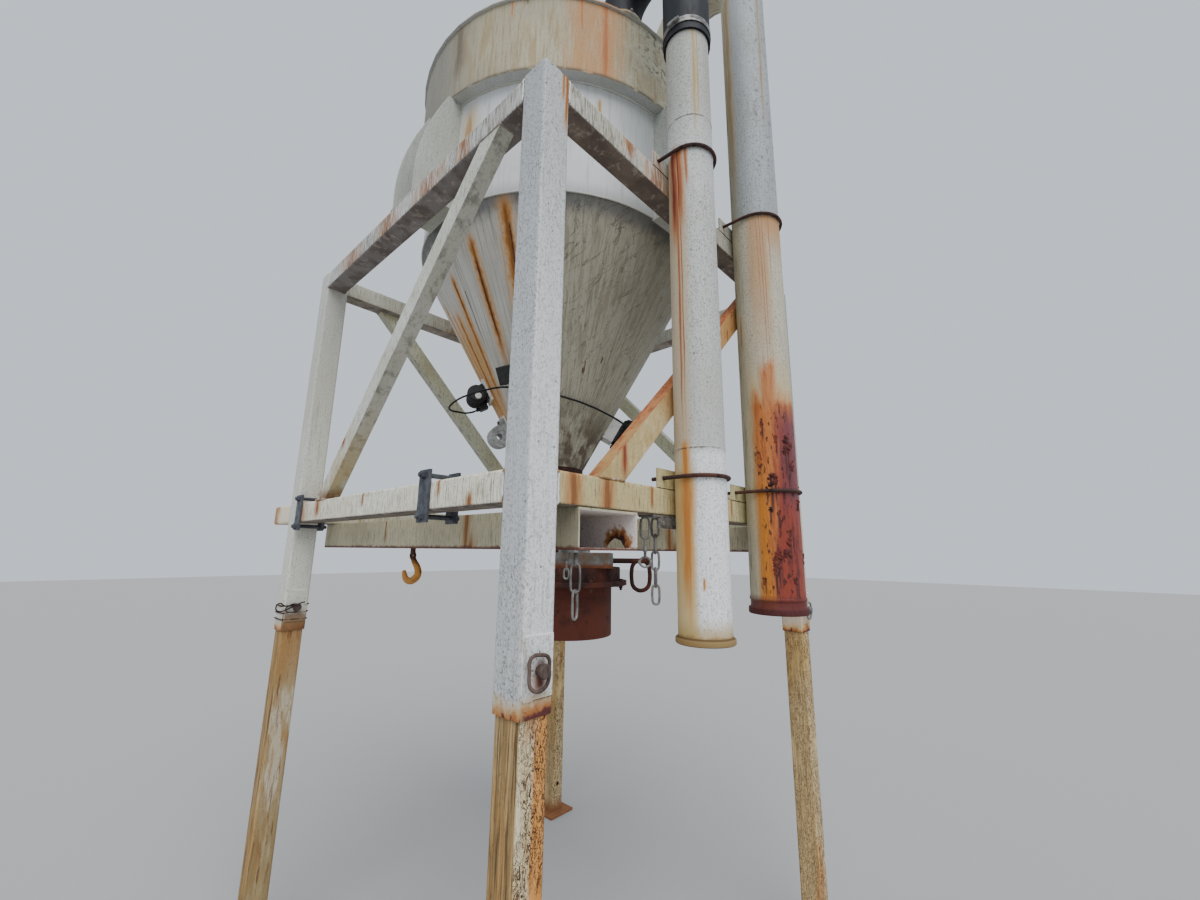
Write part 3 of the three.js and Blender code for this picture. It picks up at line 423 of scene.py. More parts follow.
# Inner legs: 80 mm square tube that slides in the sleeve, on a foot plate. What is left of the
# cream paint lifts in flakes along the corners, over ochre and orange rust.
def inner_leg_paint():
    made = Finish("inner_leg_paint", 0xE6DBB8, 0.7)
    made.lay(0xBC9C62, 0.8, (0.10, 6, 5, 1, 0.44, 0.62))
    made.lay(0xD4B272, 0.8, (made.x, 0.0, 0.5), 0.65)
    made.lay(0xBE742C, 0.85, (0.06, 9, 4, 4, 0.56, 0.64), 0.7)
    right_half = made.ramp(made.wavering(made.x, 0.05, 0.05, 5, 4, 6), -0.762, -0.742)
    near_leg = ((made.x, -0.5, -0.6), (made.y, -0.5, -0.6))
    made.lay(0xD88F3A, 0.85, right_half, *near_leg, facing(made, y=-1), 0.9)
    rear = made.both((made.y, 0.5, 0.6), (made.x, -0.5, -0.6))
    made.lay(0x957648, 0.85, rear, (0.05, 9, 5, 16, 0.26, 0.48), 0.8)
    made.lay(0xA97E4C, 0.85, rear, (made.z, 0.95, 1.10), 0.6)
    made.lay(0x7E7048, 0.9, rear, (made.z, 0.80, 0.30), 0.55)
    made.lay(0xC6BFA8, 0.85, rear, made.both((made.z, 0.55, 0.92, 0.06), (0.035, 6, 5, 8, 0.42, 0.54)), 0.8)
    made.lay(0x6E4428, 0.9, rear, (0.014, 11, 5, 13, 0.54, 0.66), 0.85)
    side = made.both(facing(made, x=-1), made.scaled((made.x, 0.0, 0.5), -0.6, 1.0))
    made.lay(0xC0965A, 0.85, side, 0.8)
    made.lay(0x80683C, 0.85, side, (0.012, 30, 5, 7, 0.36, 0.64), 0.75)
    made.lay(0x4A3A22, 0.9, side, (0.005, 30, 5, 2, 0.48, 0.62), 0.85)
    made.lay(0xC9B88C, 0.8, side, (0.010, 25, 5, 15, 0.60, 0.70), 0.8)
    made.lay(0x94703E, 0.85, (0.005, 22, 5, 12, 0.54, 0.70), 0.7)
    cracks = made.noise(0.010, 2.4, 6, 5, swirl=0.9)
    finer = made.noise(0.006, 2.4, 5, 17, swirl=0.9)
    smooth = made.scaled(made.either(side, rear), -0.85, 1.0)
    region = made.both((0.07, 3, 3, 2, 0.32, 0.46), smooth)
    split = made.either(made.crossing(cracks, 0.05), made.both(made.crossing(finer, 0.035), 0.8))
    made.lay(0x45260F, 0.9, (split, 0.25, 0.65), region)
    made.raise_by(made.both((cracks, 0.47, 0.53), region), 0.0009)
    made.lay(0x6A4826, 0.9, (0.006, 2.5, 4, 3, 0.60, 0.70), 0.6)
    made.lay(0x8A5A34, 0.95, (made.z, 0.10, 0.01))
    rusty_edges(made, 0.005, 0.8, 0x9A6634)
    made.raise_by(made.noise(0.004, 1, 4), 0.0005)
    return made.done()


leg_paint = inner_leg_paint()
for corner in SLEEVES:
    dressed("inner_leg_" + corner, leg_paint, "worn_leg")


# Top beams: 80 mm square tube between the sleeves. Their undersides are painted dark as shade, and
# rust and lichen run down their faces from the top edge.
def beam_paint(name, coat, cloud, growth, rust, under=0x8A8278, marks=(), axis="x", dashed=False):
    made = Finish(name, coat, 0.62)
    made.lay(cloud, None, (0.25, 1, 4, 1, 0.38, 0.66))
    across = made.x if axis == "x" else made.y
    fall = made.noise(0.005, 11, 5, 3)
    made.lay(0x6E6448, 0.85, (fall, 0.62 - 0.22 * growth, 0.78 - 0.14 * growth), 0.8)
    patch = made.ramp(made.noise(0.30, 1, 3, 5), 0.66 - 0.3 * rust, 0.80 - 0.25 * rust)
    made.lay(0xA9713F, 0.85, (0.02, 6, 5, 9, 0.40, 0.62), patch, 0.8)
    speckled(made, 0.5, 3)
    below = facing(made, z=-1)
    if marks:
        where = made.calc("SUBTRACT", 1.0, below)
        if dashed:
            made.lay(0x655C4C, 0.85, (0.006, 8, 5, 12, 0.46, 0.60), (0.3, 1, 3, 4, 0.35, 0.6), 0.7)
            where = made.both(where, (0.009, 8, 5, 14, 0.36, 0.58))
        stain(made, marks, across, where=where, halo=0xB47C46, core=0x7E4C28)
    # Painted shade: the faces turned down are laid over dark, mottled brown and grey.
    made.lay(under, 0.85, below, 0.92)
    made.lay(0x554A44, 0.9, below, (0.09, 1, 5, 6, 0.42, 0.62), 0.7)
    made.lay(0xA59C90, 0.8, below, (0.03, 1, 5, 2, 0.54, 0.68), 0.6)
    rusty_edges(made, 0.005, 0.8, 0x6B4A30)
    made.raise_by(made.noise(0.004, 1, 3), 0.0003)
    return made.done()


TOP_LEFT_MARKS = [(-0.42, 2.775, 2.64, 0.06), (-0.20, 2.775, 2.62, 0.17), (0.1, 2.775, 2.62, 0.14),
                  (0.45, 2.775, 2.64, 0.16)]
TOP_FRONT_MARKS = [(-0.45, 2.775, 2.68, 0.05), (-0.30, 2.775, 2.64, 0.13), (-0.10, 2.77, 2.66, 0.09)]
top_paint = beam_paint("top_beam_paint", 0xCBC9BD, 0xBBB8A6, 0.6, 0.5)
top_left_paint = beam_paint("top_left_paint", 0xD8DAD8, 0xC6C5BE, 0.8, 0.25, 0x766F6E,
                            TOP_LEFT_MARKS, axis="y", dashed=True)
top_front_paint = beam_paint("top_front_paint", 0xCDCCC2, 0xB9B5A0, 0.55, 0.3, 0x6C5D54,
                             TOP_FRONT_MARKS, dashed=True)
dressed("top_beam_front", top_front_paint)
dressed("top_beam_left", top_left_paint)
for side in ("right", "back"):
    dressed("top_beam_" + side, top_paint)


# Ring beams: the same tube, welded between the sleeves a metre below the top beams, with the fork
# pockets under them. Cream paint with fine lichen streaks and orange runs from the joints.
RING_FRONT_MARKS = [(-0.664, 1.70, 1.54, 0.048), (-0.542, 1.69, 1.54, 0.044), (-0.352, 1.685, 1.60, 0.014),
                    (0.12, 1.685, 1.60, 0.012), (0.37, 1.685, 1.60, 0.02)]
RING_LEFT_MARKS = [(-0.58, 1.632, 1.59, 0.022), (0.68, 1.70, 1.53, 0.15), (0.47, 1.69, 1.60, 0.05),
                   (0.90, 1.72, 1.50, 0.12), (0.05, 1.685, 1.62, 0.012), (-0.43, 1.69, 1.62, 0.014)]
POCKET_MARKS = [(-0.335, 1.63, 1.44, 0.032), (-0.36, 1.53, 1.47, 0.045), (0.2, 1.60, 1.50, 0.012)]
ring_paint = beam_paint("ring_beam_paint", 0xDAD6BE, 0xC6C0A4, 0.55, 0.25)
ring_left_paint = beam_paint("ring_left_paint", 0xF8F4E2, 0xEDE6CC, 0.75, 0.10, 0x6A5E54,
                             RING_LEFT_MARKS, axis="y")
ring_front_paint = beam_paint("ring_front_paint", 0xD4CA98, 0xC6B37E, 0.6, 0.3, 0x6A5E54, RING_FRONT_MARKS)


def pocket_finish():
    """The pockets: the same paint outside, painted light inside in near white, and a corner eaten through.
    """
    made = Finish("pocket_paint", 0xC8C0A2, 0.65)
    made.lay(0xB3AB90, None, (0.2, 1, 4, 1, 0.38, 0.66))
    made.lay(0x6E6448, 0.85, (0.005, 12, 5, 3, 0.48, 0.70), 0.75)
    stain(made, POCKET_MARKS, made.y, halo=0xA87C44, core=0x7A4A22, strength=0.8)
    # Painted shade: the left face of the pocket's front part, under the ring beam, is laid over dark
    # brown-grey.
    made.lay(0x746C56, 0.85, (made.y, -0.64, -0.73), facing(made, x=-1), 0.6)
    # Painted light: the inner walls of the pockets are laid over near white.
    side = made.calc("ABSOLUTE", made.x)
    made.lay(0xEFE8E2, 0.6, (side, 0.4256, 0.6394, 0.0008), (made.z, 1.5056, 1.5944, 0.0008))
    foot = made.scaled(made.noise(0.02, 1, 4, 6), 0.016, made.z)
    made.lay(0x64342A, 0.9, (foot, 1.520, 1.511), 0.95)
    off = made.vector("SUBTRACT", made.place, (-0.4225, -0.735, 1.516))
    away = made.node("VectorMath", {"operation": "LENGTH"}, [(0, off)]).outputs["Value"]
    away = made.scaled(made.noise(0.016, 1, 5, 8), 0.05, made.calc("ADD", away, -0.025))
    made.lay(0xB07A44, 0.85, (away, 0.056, 0.040))
    made.lay(0x7A3E20, 0.9, (away, 0.042, 0.030))
    made.lay(0x2E1614, 0.95, (away, 0.032, 0.024))
    speckled(made, 0.4, 5)
    rusty_edges(made, 0.003, 0.5, 0x7A5232)
    made.raise_by(made.noise(0.004, 1, 3), 0.0003)
    return made.done()


dressed("ring_beam_front", ring_front_paint)
dressed("ring_beam_left", ring_left_paint)
for side in ("right", "back"):
    dressed("ring_beam_" + side, ring_paint)
pocket_paint = pocket_finish()
for side in ("left", "right"):
    dressed("fork_pocket_" + side, pocket_paint)


# Braces: square tube from the ring beams up to the top beams, mitred level at both ends. The rain
# has rusted the upper face of the front one right through its paint.
def brace_paint(name, coat, cloud, upper=False, marks=()):
    made = Finish(name, coat, 0.62)
    made.lay(cloud, None, (0.25, 1, 4, 1, 0.38, 0.66))
    made.lay(0x7C765C, 0.85, (0.010, 4, 5, 3, 0.50, 0.70), 0.6)
    speckled(made, 0.7, 2)
    if upper:
        top = facing(made, x=-0.75, z=0.66)
        made.lay(0xB46C40, 0.85, top, 0.95)
        made.lay(0x94502A, 0.9, top, (0.02, 7, 5, 6, 0.42, 0.62))
        side = made.either((0.16, 2, 4, 4, 0.54, 0.68), (made.z, 1.83, 1.99))
        side = made.both(side, made.calc("SUBTRACT", 1.0, top))
        made.lay(0xBE8444, 0.85, side, 0.75)
        made.lay(0x7E431F, 0.9, (0.03, 3, 5, 5, 0.56, 0.66), side, 0.8)
    # Painted shade: the faces turned down are laid over greyer, together with dark grey blotches of dirt.
    below = made.either(facing(made, z=-1), facing(made, y=0.82, z=-0.57))
    made.lay(0xA9A79C, 0.85, below, 0.6)
    made.lay(0x66615A, 0.9, below, (0.03, 2, 5, 7, 0.48, 0.66), 0.6)
    made.lay(0xB39A62, 0.85, (made.z, 2.05, 1.75), (0.05, 3, 4, 8, 0.36, 0.56), 0.6)
    if marks:
        across, face = (made.x, facing(made, y=-1)) if upper else (made.y, facing(made, x=-1))
        stain(made, marks, across, where=face, halo=0xA8623A, core=0x7A3420, strength=0.95)
    made.lay(0x6E4424, 0.9, (made.z, 1.735, 1.685), (0.03, 1, 4, 3, 0.35, 0.55), 0.15 if upper else 0.8)
    rusty_edges(made, 0.005, 0.6, 0x70502F)
    made.raise_by(made.noise(0.004, 1, 3), 0.0003)
    return made.done()


FRONT_BRACE_MARKS = [(-0.473, 1.81, 1.67, 0.021)]
LEFT_BRACE_MARKS = [(0.28, 1.96, 1.84, 0.030)]
front_brace_paint = brace_paint("front_brace_paint", 0xDCCB9C, 0xCDB47C, True, FRONT_BRACE_MARKS)
left_brace_paint = brace_paint("left_brace_paint", 0xDADBD0, 0xC8C8B8, marks=LEFT_BRACE_MARKS)
plain_brace_paint = brace_paint("brace_paint", 0xC9C9AE, 0xB4B090)
dressed("brace_front", front_brace_paint)
dressed("brace_left", left_brace_paint)
for side in ("back", "right"):
    dressed("brace_" + side, plain_brace_paint)


# Tank: rolled 4 mm sheet. A white wall, a wider cream band round its top, and the cone below, with
# rust runs from pits in its left side and a crust of dirt on its right.
CONE_TOP = 2.775


def degrees(marks):
    """Marks with their first number, an angle in degrees, as radians."""
    return [(math.radians(turn), *rest) for turn, *rest in marks]


class RoundFinish(Finish):
    """The finish of a round piece. Its angle goes from the left towards the front, and its sheet is
    its place with the radius taken out, so that patterns run down it."""

    def __init__(self, name, coat, roughness, girth, x=0.0, y=0.0):
        super().__init__(name, coat, roughness)
        from_x, from_y = self.calc("SUBTRACT", self.x, x), self.calc("SUBTRACT", self.y, y)
        self.angle = self.calc("ARCTAN2", self.both(from_y, -1.0), self.both(from_x, -1.0))
        self.radius = self.calc("SQRT", self.scaled(from_x, from_x, self.both(from_y, from_y)))
        inputs = [(i, self.both(self.calc("DIVIDE", side, self.radius), girth))
                  for i, side in enumerate((from_x, from_y))]
        self.sheet = self.node("CombineXYZ", inputs=[*inputs, (2, self.z)]).outputs[0]

    def between(self, low, high, soft, angle=None):
        """1 from one angle to another and soft at both, in degrees."""
        return self.inside(angle or self.angle, *map(math.radians, (low, high, soft)))

    def run_down(self, halo, core, strength, *marks):
        """Stains, each with its angle in degrees, its top, bottom and half width."""
        stain(self, degrees(marks), self.angle, self.radius, halo=halo, core=core, strength=strength)


wall = RoundFinish("tank_wall_paint", 0xD5D7D8, 0.5, 0.635)
sheet = wall.sheet
wall.lay(0xC6C8C6, None, (0.4, 1, 4, 1, 0.35, 0.7, sheet))
wall.lay(0x9A9A92, 0.7, (0.012, 14, 5, 3, 0.50, 0.72, sheet), 0.4)
wall.run_down(0xC9B584, 0xA9702F, 0.7, (12, 3.20, 2.72, 0.075), (60, 3.2, 3.0, 0.02))
wall.lay(0x8A8A84, 0.8, (wall.z, 2.84, 2.775), 0.5)
wall.lay(0x6F706B, 0.8, (0.006, 1.5, 3, 5, 0.64, 0.74), 0.4)
wall.raise_by(wall.noise(0.2, 1, 2), 0.002)
dressed("tank_wall", wall.done())

band = RoundFinish("tank_band_paint", 0xB6AC8C, 0.6, 0.68)
sheet = band.sheet
band.lay(0xA29980, None, (0.5, 1, 4, 1, 0.35, 0.68, sheet))
band.lay(0x8C7A54, 0.75, (0.008, 14, 5, 2, 0.46, 0.66, sheet), 0.6)
band.lay(0xA5834E, 0.75, (0.06, 5, 5, 12, 0.52, 0.68, sheet), 0.5)
left_side = band.between(-70, -4, 30)
band.lay(0x6E6E6C, 0.7, left_side, 0.68)
lichen = band.both(band.between(85, 130, 30), (0.10, 1, 5, 7, 0.42, 0.56))
band.lay(0xC6C6B2, 0.85, lichen, 0.6)
band.lay(0x545444, 0.9, lichen, (0.022, 1, 5, 4, 0.51, 0.62), 0.8)
wide = band.between(52, 62, 8)
band.lay(0xC08A54, 0.8, wide, (0.018, 9, 5, 10, 0.28, 0.55, sheet), 0.8)
band.run_down(0xC48A52, 0xAE6434, 0.8, (60.5, 3.66, 3.10, 0.034), (52.5, 3.62, 3.42, 0.014),
              (29, 3.62, 3.5, 0.010))
band.run_down(0x8A7A62, 0x5A5044, 0.7, (34.3, 3.63, 3.56, 0.012), (8, 3.60, 3.30, 0.06))
below = facing(band, z=-1)
band.lay(0x5E5240, 0.9, (band.z, 3.280, 3.264), (0.05, 1, 4, 9, 0.30, 0.50), 0.85)
band.lay(0xB4B6B3, 0.7, below)
band.lay(0x94958F, 0.8, below, (0.12, 1, 3, 6, 0.40, 0.70), 0.35)
speckled(band, 0.5, 2)
band.raise_by(band.noise(0.25, 1, 2, 2), 0.002)
band_paint = band.done()
dressed("tank_band", band_paint, "tank_paint")

CONE_FOOT = 1.85
CONE_FOOT_RADIUS = 0.13
SLOPE = 0.505 / 0.925
cone = RoundFinish("cone_paint", 0xCCCAC4, 0.62, 0.40)
sheet = cone.sheet
cone.lay(0xBAB7AE, None, (0.35, 1, 4, 1, 0.35, 0.68, sheet))
cone.lay(0x8C897F, 0.8, (0.006, 40, 5, 2, 0.45, 0.64, sheet), 0.6)
right_side = cone.between(44, 150, 16)
cone.lay(0xB1AC98, 0.85, right_side, 0.85)
crust = cone.noise(0.012, 12, 6, 3, sheet, swirl=0.5)
cone.lay(0x8C8672, 0.85, right_side, (crust, 0.46, 0.60), 0.6)
cone.lay(0x635C4A, 0.9, right_side, cone.crossing(cone.noise(0.014, 9, 5, 8, sheet, swirl=0.8), 0.02), 0.6)
around = cone.both(cone.angle, 0.40)
lean_inputs = [(0, cone.scaled(cone.z, -0.7, around)), (2, cone.scaled(around, 0.7, cone.z))]
leaning = cone.node("CombineXYZ", inputs=lean_inputs).outputs[0]
creases = cone.crossing(cone.noise(0.07, 4, 5, 3, leaning, swirl=0.4), 0.012)
cone.lay(0x5E5746, 0.9, right_side, creases, (0.12, 1, 3, 6, 0.45, 0.6), 0.75)
cone.lay(0x5A4A3C, 0.9, right_side, (cone.z, 2.15, 1.95), (0.05, 2, 5, 6, 0.40, 0.58), 0.85)
cone.lay(0x6A685E, 0.85, cone.between(95, 140, 33), (cone.z, 2.1, 2.6), 0.4)
ragged_top = cone.scaled(cone.noise(0.03, 2, 5, 5), 0.06, cone.z)
cone.lay(0x626363, 0.85, (ragged_top, 2.725, 2.785), cone.scaled(right_side, -0.05, 0.95), 0.9)
cone.raise_by(cone.both(right_side, crust), 0.002)
cone.raise_by(cone.both(right_side, creases), -0.001)
ochre = cone.both(cone.between(-70, -15, 13), (cone.z, 2.60, 2.28))
cone.lay(0xBC8C3C, 0.85, ochre, (0.009, 30, 5, 4, 0.30, 0.52, sheet), 0.9)
cone.run_down(0xCBA06C, 0xAE6E2C, 0.9, (27.4, 2.76, 2.25, 0.055), (10.8, 2.68, 2.15, 0.040),
              (-8.0, 2.60, 1.98, 0.036), (-31, 2.57, 2.02, 0.032), (-18, 2.48, 1.96, 0.040),
              (-24, 2.5, 2.1, 0.018))
cone.run_down(0xA56A24, 0x84501A, 0.85, (27.4, 2.74, 2.36, 0.022), (10.8, 2.66, 2.30, 0.016),
              (-8.0, 2.575, 2.12, 0.013), (-31, 2.55, 2.15, 0.010), (-18, 2.45, 2.1, 0.012))
cone.run_down(0x6A3A18, 0x3A2014, 0.9, (28.2, 2.69, 2.42, 0.007), (10.6, 2.60, 2.26, 0.008),
              (-2.0, 2.53, 2.30, 0.004), (-8.0, 2.575, 2.45, 0.006))
cone.run_down(0x74503A, 0x35221A, 0.9, (67.0, 2.250, 2.19, 0.004), (79, 2.275, 2.25, 0.005),
              (66, 2.225, 2.20, 0.006))
cone.lay(0x4E4A40, 0.85, (0.005, 2, 3, 5, 0.62, 0.72), 0.5)
on_cone = cone.scaled(cone.z, SLOPE, CONE_FOOT_RADIUS - CONE_FOOT * SLOPE)
pads = cone.ramp(cone.calc("SUBTRACT", cone.radius, on_cone), 0.003, 0.006)
cone.lay(0xE2E3E0, 0.55, pads)
cone.lay(0xA9A79C, 0.8, pads, (0.012, 1, 4, 3, 0.52, 0.7), 0.6)
cone.raise_by(cone.noise(0.15, 1, 2), 0.003)
cone_paint = cone.done()
dressed("cone", cone_paint, "cone_paint")
dressed("roof", band_paint, "tank_paint")
dressed("roof_hatch_lid", band_paint, "tank_paint")
bracket_paint = sleeve_paint("bracket_paint", 0xC6C9BD, 0xB4B6A4, 0.6)
for side in ("front", "right", "back", "left"):
    dressed("tank_bracket_" + side, bracket_paint)


# Outlet: a short neck, the gate's grey housing of bolted plate, and a flanged collar with its
# spout. All but the housing is bare steel under a thick coat of dark rust.
def deep_rust(name, base=0x321814, light=0x5C2C1C, dark=0x1A0F0F):
    return Finish(name, base, 0.88).covered(
        (0.01, 1, 6), 0.0015, (light, 0.92, (0.10, 2, 5, 1, 0.42, 0.68)),
        (dark, 0.95, (0.03, 3, 5, 2, 0.48, 0.68)), (0x8A4C2A, 0.9, (0.008, 4, 4, 3, 0.62, 0.74), 0.6))


outlet_rust = deep_rust("outlet_rust")
dressed("outlet_collar", outlet_rust, "rusty_steel")
dressed("outlet_neck", outlet_rust, "cone_paint")
spout_rust = Finish("spout_rust", 0x5C2A1A, 0.85).covered(
    (0.008, 1, 5), 0.001, (0x3E1C15, 0.88, (0.16, 1, 4, 2, 0.46, 0.66)),
    (0x2C1412, 0.92, (0.03, 1.4, 5, 5, 0.56, 0.74)), (0x7A4228, 0.9, (0.004, 1, 4, 3, 0.56, 0.70), 0.5))
dressed("outlet_spout", spout_rust, "rusty_steel")
gate = Finish("gate_paint", 0x70787A, 0.6)
gate_paint = gate.covered(
    (0.006, 1, 4), 0.0006, (0x62564A, 0.8, (0.07, 1, 5, 1, 0.40, 0.56)),
    (0x6A3B22, 0.9, (gate.z, 1.456, 1.436)), (0x74462C, 0.9, (0.03, 2.5, 5, 4, 0.54, 0.64)))
dressed("gate_housing", gate_paint, "bare_steel")



# Pipes: thin steel tube, off-white, each with a flange at its foot and a beaded joint or two. Rust
# has run down from the U-bolts, and the foot of the right pipe is eaten into thick scabs.
def turned(profile, x=0.0, y=0.0, sides=96):
    """Turns a closed profile of radius and height round an upright axis."""
    bpy.ops.object.select_all(action="DESELECT")
    radius, height = profile[0]
    bpy.ops.mesh.primitive_circle_add(vertices=sides, radius=radius, location=(x, y, height))
    bpy.ops.object.transform_apply(location=True)
    bpy.ops.object.mode_set(mode="EDIT")
    for r, z in [*profile[1:], profile[0]]:
        bpy.ops.mesh.extrude_edges_move(TRANSFORM_OT_translate={"value": (0, 0, z - height)})
        bpy.ops.transform.resize(value=(r / radius, r / radius, 1), center_override=(x, y, z))
        radius, height = r, z
    bpy.ops.mesh.select_all(action="SELECT")
    bpy.ops.mesh.remove_doubles(threshold=0.00002)
    bpy.ops.mesh.normals_make_consistent(inside=False)
    bpy.ops.object.mode_set(mode="OBJECT")
    return bpy.context.object


def bead_at(z, radius, proud=0.0013, half=0.004):
    return [(radius, z - half), (radius + proud, z - half / 2), (radius + proud, z + half / 2),
            (radius, z + half)]


PIPE_A = {"x": -0.214, "y": -0.8748, "radius": 0.0745}
PIPE_B = {"x": 0.253, "y": -0.8913, "radius": 0.091}
PIPE_A_PROFILE = [(0.0705, 1.254), (0.080, 1.254), (0.0825, 1.2565), (0.0825, 1.2675), (0.080, 1.270),
                  (0.0765, 1.271), (0.075, 1.275), (0.0745, 1.284), *bead_at(1.793, 0.0745),
                  *bead_at(2.916, 0.0745), (0.0745, 3.39), (0.0705, 3.39)]
PIPE_B_PROFILE = [(0.087, 1.295), (0.097, 1.295), (0.099, 1.2975), (0.099, 1.3135), (0.097, 1.316),
                  (0.0925, 1.317), (0.091, 1.322), (0.091, 1.336), *bead_at(1.345, 0.091, 0.003, 0.007),
                  (0.091, 3.944), *bead_at(3.946, 0.091, 0.0, 0.002), (0.087, 3.95)]

pipe = RoundFinish("pipe_a_paint", 0xCBCDCB, 0.5, PIPE_A["radius"], PIPE_A["x"], PIPE_A["y"])
sheet = pipe.sheet
pipe.lay(0xC0C0B8, None, (0.3, 2, 4, 1, 0.38, 0.68, sheet))
pipe.lay(0xAAA99E, None, (pipe.z, 2.80, 3.0), 0.75)
pipe.lay(0xF2F3F3, None, (pipe.z, 1.80, 1.76))
pipe.lay(0x8F8C7E, 0.75, (0.004, 25, 5, 2, 0.50, 0.74, sheet), 0.4)
speckled(pipe, 1.0, 4)
warm_edge = pipe.wavering(pipe.angle, 0.5, 0.05, 9, 4, 6, sheet)
warm = pipe.both(pipe.between(-130, 2, 24, warm_edge), (pipe.z, 2.795, 2.78))
pipe.lay(0xC4AE88, 0.75, warm, 0.72)
pipe.lay(0xD9BE80, 0.75, warm, (pipe.z, 1.79, 1.70), 0.8)
pipe.run_down(0xB9A575, 0xB09050, 0.7, (48, 3.30, 2.78, 0.013), (58, 3.25, 2.85, 0.007))
pipe.run_down(0xBE7C48, 0xA05A30, 0.85, (-14, 2.80, 2.38, 0.040), (4, 2.80, 2.45, 0.020),
              (-8, 2.79, 1.80, 0.009), (20, 2.80, 2.62, 0.010))
pipe.run_down(0x8E4428, 0x6E2E20, 0.9, (-18, 2.80, 2.48, 0.020), (-2, 2.79, 2.55, 0.006))
pipe.run_down(0xA0663C, 0x8A5030, 0.85, (0, 2.6, 1.78, 0.003), (-9, 2.4, 1.8, 0.003))
pipe.run_down(0xD09A54, 0xC07A34, 0.9, (-4, 1.805, 1.66, 0.024), (-4, 1.712, 1.30, 0.040),
              (2, 1.712, 1.255, 0.012), (31, 1.428, 1.39, 0.006))
foot = pipe.scaled(pipe.noise(0.03, 1, 4, 4), 0.02, pipe.z)
pipe.lay(0xB89C60, 0.8, (foot, 1.345, 1.285), 0.85)
pipe.lay(0x8C7044, 0.9, (foot, 1.293, 1.283), 0.9)
pipe.lay(0x5A4428, 0.9, (pipe.z, 1.2705, 1.2735, 0.002), 0.8)
for seam in (1.793, 2.916):
    line = pipe.ramp(pipe.calc("ABSOLUTE", pipe.calc("SUBTRACT", pipe.z, seam - 0.004)), 0.003, 0.001)
    pipe.lay(0x5A5448, 0.9, line, (0.03, 1, 3, 5, 0.40, 0.55), 0.8)
pipe.lay(0x6A4A30, 0.9, facing(pipe, z=-1))
tube = turned(PIPE_A_PROFILE, PIPE_A["x"], PIPE_A["y"])
finished(tube, "pipe_a_tube", pipe.done(), "pipe_paint", "pipe_a")

# The rust of the right pipe has swollen into scabs: their angle in degrees, height and size.
SCABS = [
    (11, 1.956, 0.009), (66, 1.875, 0.021), (60, 1.85, 0.014), (39, 1.892, 0.009), (25, 1.752, 0.016),
    (32, 1.745, 0.010), (14, 1.715, 0.007), (19, 1.646, 0.008), (36, 1.631, 0.009), (56, 1.56, 0.013),
    (29, 1.50, 0.016), (23, 1.449, 0.013), (64, 1.407, 0.010), (0, 1.41, 0.007), (20, 1.475, 0.008),
    (48, 1.515, 0.018), (75, 1.80, 0.013), (90, 1.66, 0.016), (104, 1.48, 0.012), (120, 1.72, 0.012),
]
RUNNING_SCABS = 15
pipe = RoundFinish("pipe_b_paint", 0xA9ADB0, 0.5, PIPE_B["radius"], PIPE_B["x"], PIPE_B["y"])
sheet = pipe.sheet
pipe.lay(0x9EA1A0, None, (0.3, 2, 4, 1, 0.38, 0.68, sheet))
under_bolt = pipe.ramp(pipe.z, 2.795, 2.775)
pipe.lay(0xC8C1A8, 0.65, under_bolt, 0.9)
pipe.lay(0x8A8676, 0.75, (0.005, 25, 5, 2, 0.48, 0.72, sheet), 0.5)
speckled(pipe, 1.0, 6)
lichen = pipe.both(pipe.between(45, 140, 25), (0.012, 2, 5, 5, 0.56, 0.64))
pipe.lay(0x5E5F58, 0.85, lichen, (pipe.z, 2.8, 3.0), 0.6)
shade_side = pipe.between(-130, -40, 38)
pipe.lay(0xB2A88C, 0.8, shade_side, 0.75)
pipe.lay(0x5A5440, 0.9, shade_side, (0.010, 12, 5, 7, 0.54, 0.66, sheet), 0.65)
pipe.run_down(0xAA977A, 0x96805A, 0.8, (-26, 3.93, 2.80, 0.034), (65.5, 3.93, 3.1, 0.010),
              (-38, 3.9, 3.0, 0.01))
cloudy = pipe.wavering(pipe.angle, 0.5, 0.10, 8, 4, 8, sheet)
tan_side = pipe.both(pipe.between(48, 110, 44, cloudy), (pipe.z, 2.56, 2.76))
tan_run = pipe.both(pipe.between(12, 40, 22, cloudy), (pipe.z, 2.0, 2.6), 0.8)
pipe.lay(0xBA8650, 0.75, pipe.either(tan_side, tan_run), under_bolt, 0.85)
pipe.run_down(0xAA744A, 0x8E5836, 0.5, (31, 2.79, 2.00, 0.0035), (37, 2.79, 2.10, 0.003),
              (24, 2.78, 2.3, 0.0025), (53, 2.78, 2.45, 0.004))

# The foot of the right pipe is eaten below a ragged edge, orange on its left and deep red on its right.
across = pipe.wavering(pipe.angle, 0.36, 0.05, 5, 5, 3, sheet)
height = pipe.wavering(pipe.z, 0.14, 0.04, 3, 5, 9, sheet)
lobe = pipe.both(pipe.between(20, 40, 12, across), (height, 2.20, 2.14))
eaten_side = pipe.between(0, 140, 22, across)
eaten = pipe.either(pipe.both(eaten_side, (height, 2.10, 2.0)), pipe.both(lobe, 0.85))
pipe.lay(0xCDB27C, 0.75, pipe.between(-8, 140, 26, across), (height, 2.24, 2.02), 0.7)
pipe.lay(0xBE6C26, 0.65, eaten, 0.95)
pipe.lay(0x9E4A1A, 0.7, eaten, (0.010, 14, 5, 9, 0.46, 0.66, sheet), 0.7)
pipe.lay(0xCA7E1E, 0.6, eaten, (across, math.radians(24), math.radians(6)), (pipe.z, 1.86, 1.6), 0.8)
ragged = pipe.scaled(pipe.noise(0.03, 9, 5, 4, sheet), 0.9, across)
red = pipe.ramp(pipe.scaled((pipe.z, 1.75, 1.42), 0.35, ragged), 0.86, 1.35)
